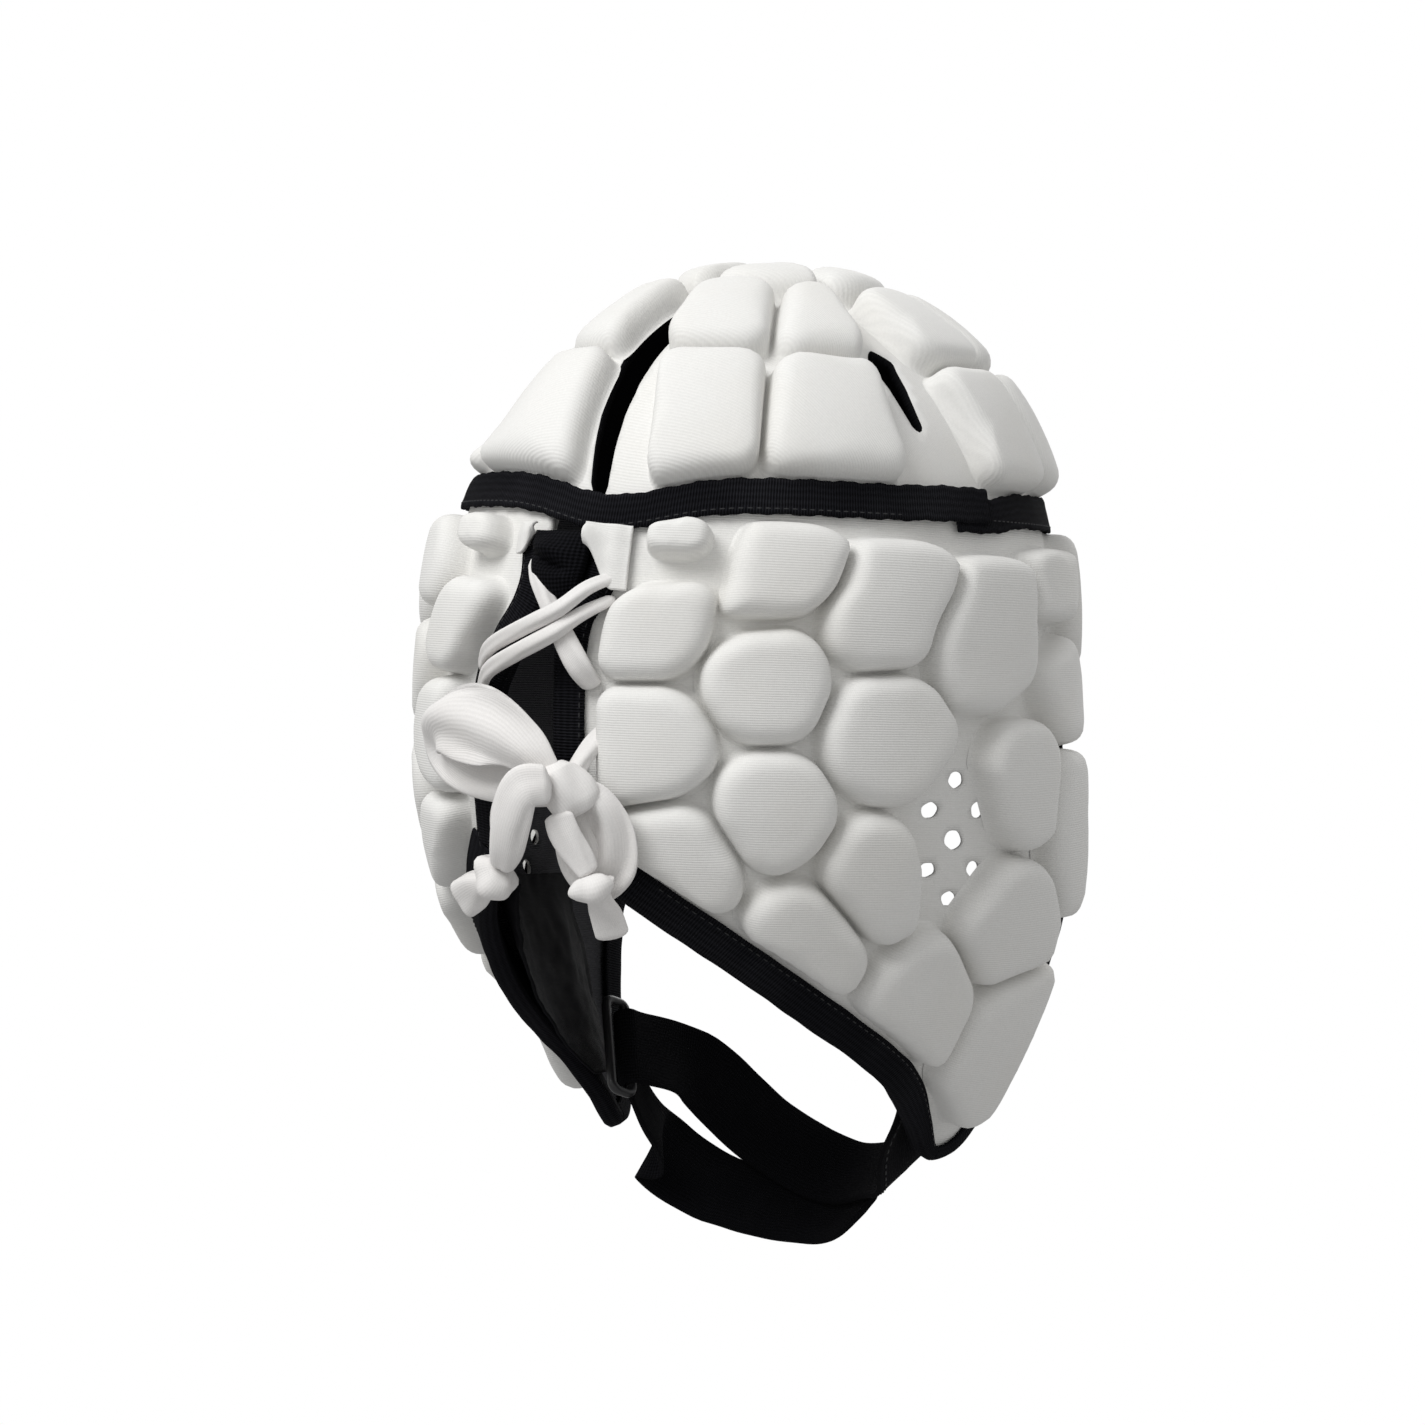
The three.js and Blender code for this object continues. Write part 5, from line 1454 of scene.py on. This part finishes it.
def chin_strap(look):
    """The black strap, turned round the ring's bar and laid back on itself."""
    spot, across, face, share = strap_stations()
    thick = np.full(len(share), STRAP_THICKNESS)
    outline = oval(share * STRAP_WIDTH, thick, STRAP_CORNERS, STRAP_SQUARENESS)
    rings = spot[:, None] + across[:, None] * outline[..., :1] + face[:, None] * outline[..., 1:]
    wave = 0.0004 * uneven(spot, 0.02, 4)
    rings = rings + face[:, None] * wave[:, None, None]
    rings = puckered(rings, 8)
    girth = np.linspace(0, 2 * STRAP_WIDTH, STRAP_CORNERS, endpoint=False)
    shape = Shape()
    places = np.stack(np.broadcast_arrays(run_along(spot)[:, None], girth[None]), axis=-1)
    shape.grid(rings, places, around=True)
    for row in (0, -1):
        shape.add(rings[row], [tuple(range(STRAP_CORNERS))], places[row])
    piece = turn_outwards(shape.build("chin_strap_cloth", strap_cloth(look)))
    declare(piece, "strap_fabric", "chin_strap")


def strap_ring():
    """The moulded ring at the left jaw."""
    spot, along, across, face = (v[-1] for v in strap_places([0.999, 1.0]))
    middle = spot - face * FOLD_RADIUS + along * RING_DEPTH
    inset, rise = RING_DEPTH - RING_CORNER, STRAP_WIDTH / 2 + RING_WIRE - RING_CORNER
    spine, out = [], []
    for x, y, start in ((1, 1, 0), (-1, 1, 90), (-1, -1, 180), (1, -1, 270)):
        for turn in np.radians(start + np.linspace(0, 90, 7)):
            way = along * math.cos(turn) + across * math.sin(turn)
            spot = middle + along * x * inset + across * y * rise + way * RING_CORNER
            spine.append(spot)
            out.append(way)
    ring = oval(np.full(len(spine), RING_WIRE), np.full(len(spine), RING_WIRE), 16)
    faces = np.repeat(face[None], len(spine), 0)
    piece = swept("strap_ring_moulding", np.array(spine), np.array(out), faces, ring,
                  ring_plastic(), closed=True)
    turn_outwards(piece)
    declare(piece, "ring_plastic", "strap_ring")


# ---------------------------------------------------------------- stitches


def node_link(tree, start, socket, end, place):
    """Joins a node's output to another node's input."""
    tree.links.new(start.outputs[socket], end.inputs[place])


def stitch_tree():
    """Geometry nodes that set short thread stitches along a line."""
    tree = bpy.data.node_groups.new("Seam Stitches", "GeometryNodeTree")
    face = tree.interface
    face.new_socket(name="Geometry", in_out="INPUT", socket_type="NodeSocketGeometry")
    for label, value in (("Pitch", 0.003), ("Length", 0.002), ("Thickness", 0.0005)):
        socket = face.new_socket(name=label, in_out="INPUT", socket_type="NodeSocketFloat")
        socket.default_value = value
    face.new_socket(name="Thread", in_out="INPUT", socket_type="NodeSocketMaterial")
    face.new_socket(name="Geometry", in_out="OUTPUT", socket_type="NodeSocketGeometry")
    new = tree.nodes.new
    start, end = new("NodeGroupInput"), new("NodeGroupOutput")
    line = new("GeometryNodeMeshToCurve")
    spaced = new("GeometryNodeResampleCurve")
    spaced.mode = "LENGTH"
    along = new("GeometryNodeInputTangent")
    turned = new("FunctionNodeAlignRotationToVector")
    turned.axis = "X"
    ball = new("GeometryNodeMeshUVSphere")
    ball.inputs["Segments"].default_value = 6
    ball.inputs["Rings"].default_value = 5
    ball.inputs["Radius"].default_value = 0.5
    size = new("ShaderNodeCombineXYZ")
    placed = new("GeometryNodeInstanceOnPoints")
    real = new("GeometryNodeRealizeInstances")
    thread = new("GeometryNodeSetMaterial")
    node_link(tree, start, "Geometry", line, 0)
    node_link(tree, line, 0, spaced, "Curve")
    node_link(tree, start, "Pitch", spaced, "Length")
    node_link(tree, along, 0, turned, "Vector")
    node_link(tree, spaced, 0, placed, "Points")
    node_link(tree, ball, "Mesh", placed, "Instance")
    node_link(tree, turned, 0, placed, "Rotation")
    node_link(tree, start, "Length", size, 0)
    node_link(tree, start, "Thickness", size, 1)
    node_link(tree, start, "Thickness", size, 2)
    node_link(tree, size, 0, placed, "Scale")
    node_link(tree, placed, 0, real, 0)
    node_link(tree, real, 0, thread, "Geometry")
    node_link(tree, start, "Thread", thread, "Material")
    node_link(tree, thread, 0, end, 0)
    return tree


def stitched(name, lines, sizes, material, slot):
    """A row of stitches along each line of points, as one plain mesh."""
    tree = bpy.data.node_groups.get("Seam Stitches") or stitch_tree()
    mesh = bpy.data.meshes.new(name + "_lines")
    points, edges = [], []
    for line in lines:
        start = len(points)
        points += line.tolist()
        edges += [(start + k, start + k + 1) for k in range(len(line) - 1)]
    mesh.from_pydata(points, edges, [])
    seam = bpy.data.objects.new(name + "_lines", mesh)
    bpy.context.collection.objects.link(seam)
    modifier = seam.modifiers.new("Stitches", "NODES")
    modifier.node_group = tree
    sockets = {s.name: s.identifier for s in tree.interface.items_tree if s.in_out == "INPUT"}
    for label, value in zip(("Pitch", "Length", "Thickness"), sizes):
        modifier[sockets[label]] = value
    modifier[sockets["Thread"]] = material
    scene = bpy.context.evaluated_depsgraph_get()
    made = bpy.data.meshes.new_from_object(seam.evaluated_get(scene), depsgraph=scene)
    piece = bpy.data.objects.new(name, made)
    bpy.context.collection.objects.link(piece)
    bpy.data.objects.remove(seam)
    declare(piece, slot)


def thread_material(name, colour):
    """A twisted thread, with painted shade between its strands."""
    material, tree, shader = blank_material(name)
    where = tree.nodes.new("ShaderNodeTexCoord")
    strand_shade_noise = tree.nodes.new("ShaderNodeTexNoise")
    strand_shade_noise.inputs["Scale"].default_value = 2600
    tree.links.new(where.outputs["Object"], strand_shade_noise.inputs["Vector"])
    # Painted shade: darker noise patches stand for the shade between the thread's strands.
    ramp = tree.nodes.new("ShaderNodeValToRGB")
    ramp.color_ramp.elements[0].color = (*[0.6 * c for c in colour], 1)
    ramp.color_ramp.elements[1].color = (*colour, 1)
    tree.links.new(strand_shade_noise.outputs["Fac"], ramp.inputs[0])
    tree.links.new(ramp.outputs[0], shader.inputs["Base Color"])
    shader.inputs["Roughness"].default_value = 0.8
    return material


def seam_stitches():
    """Thread along the strap's lower edge, the crown's tape and the bindings."""
    black = thread_material("black thread", (0.03, 0.03, 0.032))
    spot, across, face = (v[2 : STRAP_STEPS - 2] for v in strap_stations()[:3])
    line = spot - across * (STRAP_WIDTH * STRAP_STITCH_SHARE)
    line = line - face * (STRAP_THICKNESS / 2 + 0.0001)
    stitched("strap_stitches", [line], STRAP_STITCH, black, "strap_fabric")
    turn = np.linspace(-179, 179, 500)
    out = WALL + 2 * FIT + BAND_THICKNESS + 0.00005
    line = head_point(turn, seam_drop(turn) + BAND_STITCH_SHARE * BAND_WIDTH, out)
    stitched("crown_tape_stitches", [line], BAND_STITCH, black, "black_webbing")
    lines = []
    for side in (1, -1):
        back, foot = bound_edges(side)
        for places in (back(np.linspace(0, 1, 60)), foot(np.linspace(0.08, 0.38, 120)),
                       foot(np.linspace(0.48, 1, 200))):
            here, inward, reach = places
            spot = here + inward * (BINDING_STITCH_SHARE * (reach - 2 * FIT))[:, None]
            lines.append(head_point(side * spot[:, 0], spot[:, 1], WALL + FIT + BINDING_THICKNESS))
    stitched("binding_stitches", lines, BINDING_STITCH, black, "black_webbing")


# ---------------------------------------------------------------- stage

CAMERA_AZIMUTH = 213
CAMERA_ELEVATION = 1
CAMERA_ROLL = 2
CAMERA_DISTANCE = 1.5
CAMERA_AIM = Vector((0, 0, -0.122))
PHOTO_SIDE_PIXELS = 1425
PIXELS_PER_METRE = 3360
AIM_PIXEL_X = 750
SENSOR_WIDTH = 0.036
FLOOR_HALF = 6.0
FLOOR_LEVEL = -0.42
FLOOR_DIM = 0.7


def add_camera():
    """The camera at the photograph's angle."""
    turn, rise, roll = (math.radians(a) for a in (CAMERA_AZIMUTH, CAMERA_ELEVATION, CAMERA_ROLL))
    back = Vector(
        (math.sin(turn) * math.cos(rise), -math.cos(turn) * math.cos(rise), math.sin(rise))
    )
    level = Vector((math.cos(turn), math.sin(turn), 0))
    upright = back.cross(level)
    right = level * math.cos(roll) + upright * math.sin(roll)
    up = upright * math.cos(roll) - level * math.sin(roll)
    sideways = (AIM_PIXEL_X - PHOTO_SIDE_PIXELS / 2) / PIXELS_PER_METRE
    place = Matrix((right, up, back)).transposed().to_4x4()
    place.translation = CAMERA_AIM + back * CAMERA_DISTANCE - right * sideways
    data = bpy.data.cameras.new("camera")
    data.sensor_width = 1000 * SENSOR_WIDTH
    data.lens = 1000 * SENSOR_WIDTH * CAMERA_DISTANCE * PIXELS_PER_METRE / PHOTO_SIDE_PIXELS
    camera = bpy.data.objects.new("camera", data)
    camera.matrix_world = place
    bpy.context.collection.objects.link(camera)
    bpy.context.scene.camera = camera


def add_light(name, place, size, power):
    """A round soft lamp that shines at the cap."""
    data = bpy.data.lights.new(name, "AREA")
    data.shape = "DISK"
    data.size = size
    data.energy = power
    light = bpy.data.objects.new(name, data)
    light.location = place
    light.rotation_euler = (CAMERA_AIM - Vector(place)).to_track_quat("-Z", "Y").to_euler()
    bpy.context.collection.objects.link(light)


def seen_white(tree, dim):
    """A strength of 1 where the camera looks, and a dimmer one for the light that is cast."""
    rays = tree.nodes.new("ShaderNodeLightPath")
    return maths(tree, "MULTIPLY_ADD", rays.outputs["Is Camera Ray"], 1.0 - dim, dim)


def floor_material(room_light):
    """White paper, lit evenly."""
    material, tree, shader = blank_material("white floor")
    shader.inputs["Base Color"].default_value = (0, 0, 0, 1)
    shader.inputs["Specular IOR Level"].default_value = 0.0
    shader.inputs["Emission Color"].default_value = (1, 1, 1, 1)
    strength = seen_white(tree, FLOOR_DIM * room_light)
    tree.links.new(strength, shader.inputs["Emission Strength"])
    return material


def add_stage(look):
    """A pale floor, a white room light and soft lamps."""
    mesh = bpy.data.meshes.new("floor")
    around = ((-1, -1), (1, -1), (1, 1), (-1, 1))
    corners = [(x * FLOOR_HALF, y * FLOOR_HALF, FLOOR_LEVEL) for x, y in around]
    mesh.from_pydata(corners, [], [(0, 1, 2, 3)])
    floor = bpy.data.objects.new("floor", mesh)
    mesh.materials.append(floor_material(look.room_light))
    bpy.context.collection.objects.link(floor)
    world = bpy.data.worlds.new("room")
    bpy.context.scene.world = world
    world.use_nodes = True
    shade = world.node_tree.nodes["Background"]
    shade.inputs["Color"].default_value = (1, 1, 1, 1)
    strength = seen_white(world.node_tree, look.room_light)
    world.node_tree.links.new(strength, shade.inputs["Strength"])
    bpy.context.scene.view_settings.view_transform = "Standard"
    add_light("key", (0.25, 1.4, 1.2), 1.1, look.key_light)
    add_light("front", (0.3, -1.5, 0.6), 1.2, look.key_light * 0.25)


# ---------------------------------------------------------------- add-on


class CapLook(bpy.types.PropertyGroup):
    """Finishes of the cap and its studio."""

    cover_colour: bpy.props.FloatVectorProperty(
        name="Cover", description="Colour of the knitted cover", subtype="COLOR", size=3,
        min=0, max=1, default=(0.76, 0.755, 0.735))
    tape_colour: bpy.props.FloatVectorProperty(
        name="Tape", description="Colour of the tapes and the strap", subtype="COLOR", size=3,
        min=0, max=1, default=(0.006, 0.006, 0.0075))
    lace_colour: bpy.props.FloatVectorProperty(
        name="Laces", description="Colour of the laces", subtype="COLOR", size=3,
        min=0, max=1, default=(0.77, 0.755, 0.74))
    knit_pitch: bpy.props.FloatProperty(
        name="Knit pitch", description="Spacing of the cover's ribs", unit="LENGTH",
        default=0.00066)
    tape_pitch: bpy.props.FloatProperty(
        name="Tape pitch", description="Spacing of the ribs across a tape", unit="LENGTH",
        default=0.00085)
    pad_crown: bpy.props.FloatProperty(
        name="Pad crown", description="How far a pad bulges at its middle", unit="LENGTH",
        default=0.0012)
    pad_ripple: bpy.props.FloatProperty(
        name="Pad ripple", description="Unevenness of the pads' tops", unit="LENGTH",
        default=0.00018)
    wall_grid: bpy.props.FloatProperty(
        name="Wall grid", description="Spacing of the mesh between the pads", unit="LENGTH",
        default=0.0026)
    lace_folds: bpy.props.FloatProperty(
        name="Lace folds", description="Depth of the folds along the laces", default=1.0)
    room_light: bpy.props.FloatProperty(
        name="Room light", description="Strength of the light from all round", default=0.6)
    key_light: bpy.props.FloatProperty(
        name="Key light", description="Power of the main lamp", unit="POWER", default=26)


class CAP_OT_stage(bpy.types.Operator):
    """Adds the camera, the lamps and the pale floor"""

    bl_idname = "cap.stage"
    bl_label = "Stage"

    def execute(self, context):
        add_camera()
        add_stage(context.scene.cap_look)
        return {"FINISHED"}


class CAP_OT_laces(bpy.types.Operator):
    """Adds the crossed laces and the bow"""

    bl_idname = "cap.laces"
    bl_label = "Laces and Bow"

    def execute(self, context):
        laces(context.scene.cap_look)
        return {"FINISHED"}


class CAP_OT_crown(bpy.types.Operator):
    """Adds the padded crown"""

    bl_idname = "cap.crown"
    bl_label = "Crown"

    def execute(self, context):
        crown(context.scene.cap_look)
        return {"FINISHED"}


class CAP_OT_side_panels(bpy.types.Operator):
    """Adds the two padded side panels"""

    bl_idname = "cap.side_panels"
    bl_label = "Side Panels"

    def execute(self, context):
        look = context.scene.cap_look
        for side, word in ((1, "right"), (-1, "left")):
            piece = side_panel(side, "side_cover_" + word, look)
            declare(piece, "quilted_cover", "side_panel_" + word)
        return {"FINISHED"}


class CAP_OT_tapes(bpy.types.Operator):
    """Adds the tape over the crown's seam and the folded bindings"""

    bl_idname = "cap.tapes"
    bl_label = "Tapes"

    def execute(self, context):
        look = context.scene.cap_look
        declare(crown_band(look), "black_webbing", "crown_band")
        bindings(look)
        return {"FINISHED"}


class CAP_OT_linings(bpy.types.Operator):
    """Adds the back gusset and the lining inside the left jaw"""

    bl_idname = "cap.linings"
    bl_label = "Gusset and Lining"

    def execute(self, context):
        gusset(context.scene.cap_look)
        gusset_flaps(context.scene.cap_look)
        jaw_lining()
        return {"FINISHED"}


class CAP_OT_chin_strap(bpy.types.Operator):
    """Adds the chin strap and its ring"""

    bl_idname = "cap.chin_strap"
    bl_label = "Chin Strap"

    def execute(self, context):
        chin_strap(context.scene.cap_look)
        strap_ring()
        return {"FINISHED"}


class CAP_OT_stitches(bpy.types.Operator):
    """Adds the stitches along the strap and the tapes"""

    bl_idname = "cap.stitches"
    bl_label = "Stitches"

    def execute(self, context):
        seam_stitches()
        return {"FINISHED"}


class CAP_PT_panel(bpy.types.Panel):
    """Lists the pieces of the cap and their finishes"""

    bl_idname = "CAP_PT_panel"
    bl_label = "Scrum Cap"
    bl_space_type = "VIEW_3D"
    bl_region_type = "UI"
    bl_category = "Scrum Cap"

    def draw(self, context):
        for label in CapLook.__annotations__:
            self.layout.prop(context.scene.cap_look, label)
        for operator in OPERATORS:
            self.layout.operator(operator.bl_idname)


OPERATORS = (
    CAP_OT_stage, CAP_OT_laces, CAP_OT_crown, CAP_OT_side_panels, CAP_OT_tapes, CAP_OT_linings,
    CAP_OT_chin_strap, CAP_OT_stitches,
)
CLASSES = (CapLook, *OPERATORS, CAP_PT_panel)


def register():
    for item in CLASSES:
        bpy.utils.register_class(item)
    bpy.types.Scene.cap_look = bpy.props.PointerProperty(type=CapLook)


def unregister():
    del bpy.types.Scene.cap_look
    for item in reversed(CLASSES):
        bpy.utils.unregister_class(item)


def main():
    register()
    bpy.ops.cap.stage()
    bpy.ops.cap.laces()
    bpy.ops.cap.crown()
    bpy.ops.cap.side_panels()
    bpy.ops.cap.tapes()
    bpy.ops.cap.linings()
    bpy.ops.cap.chin_strap()
    bpy.ops.cap.stitches()
    bpy.context.view_layer.update()


if __name__ == "__main__":
    main()
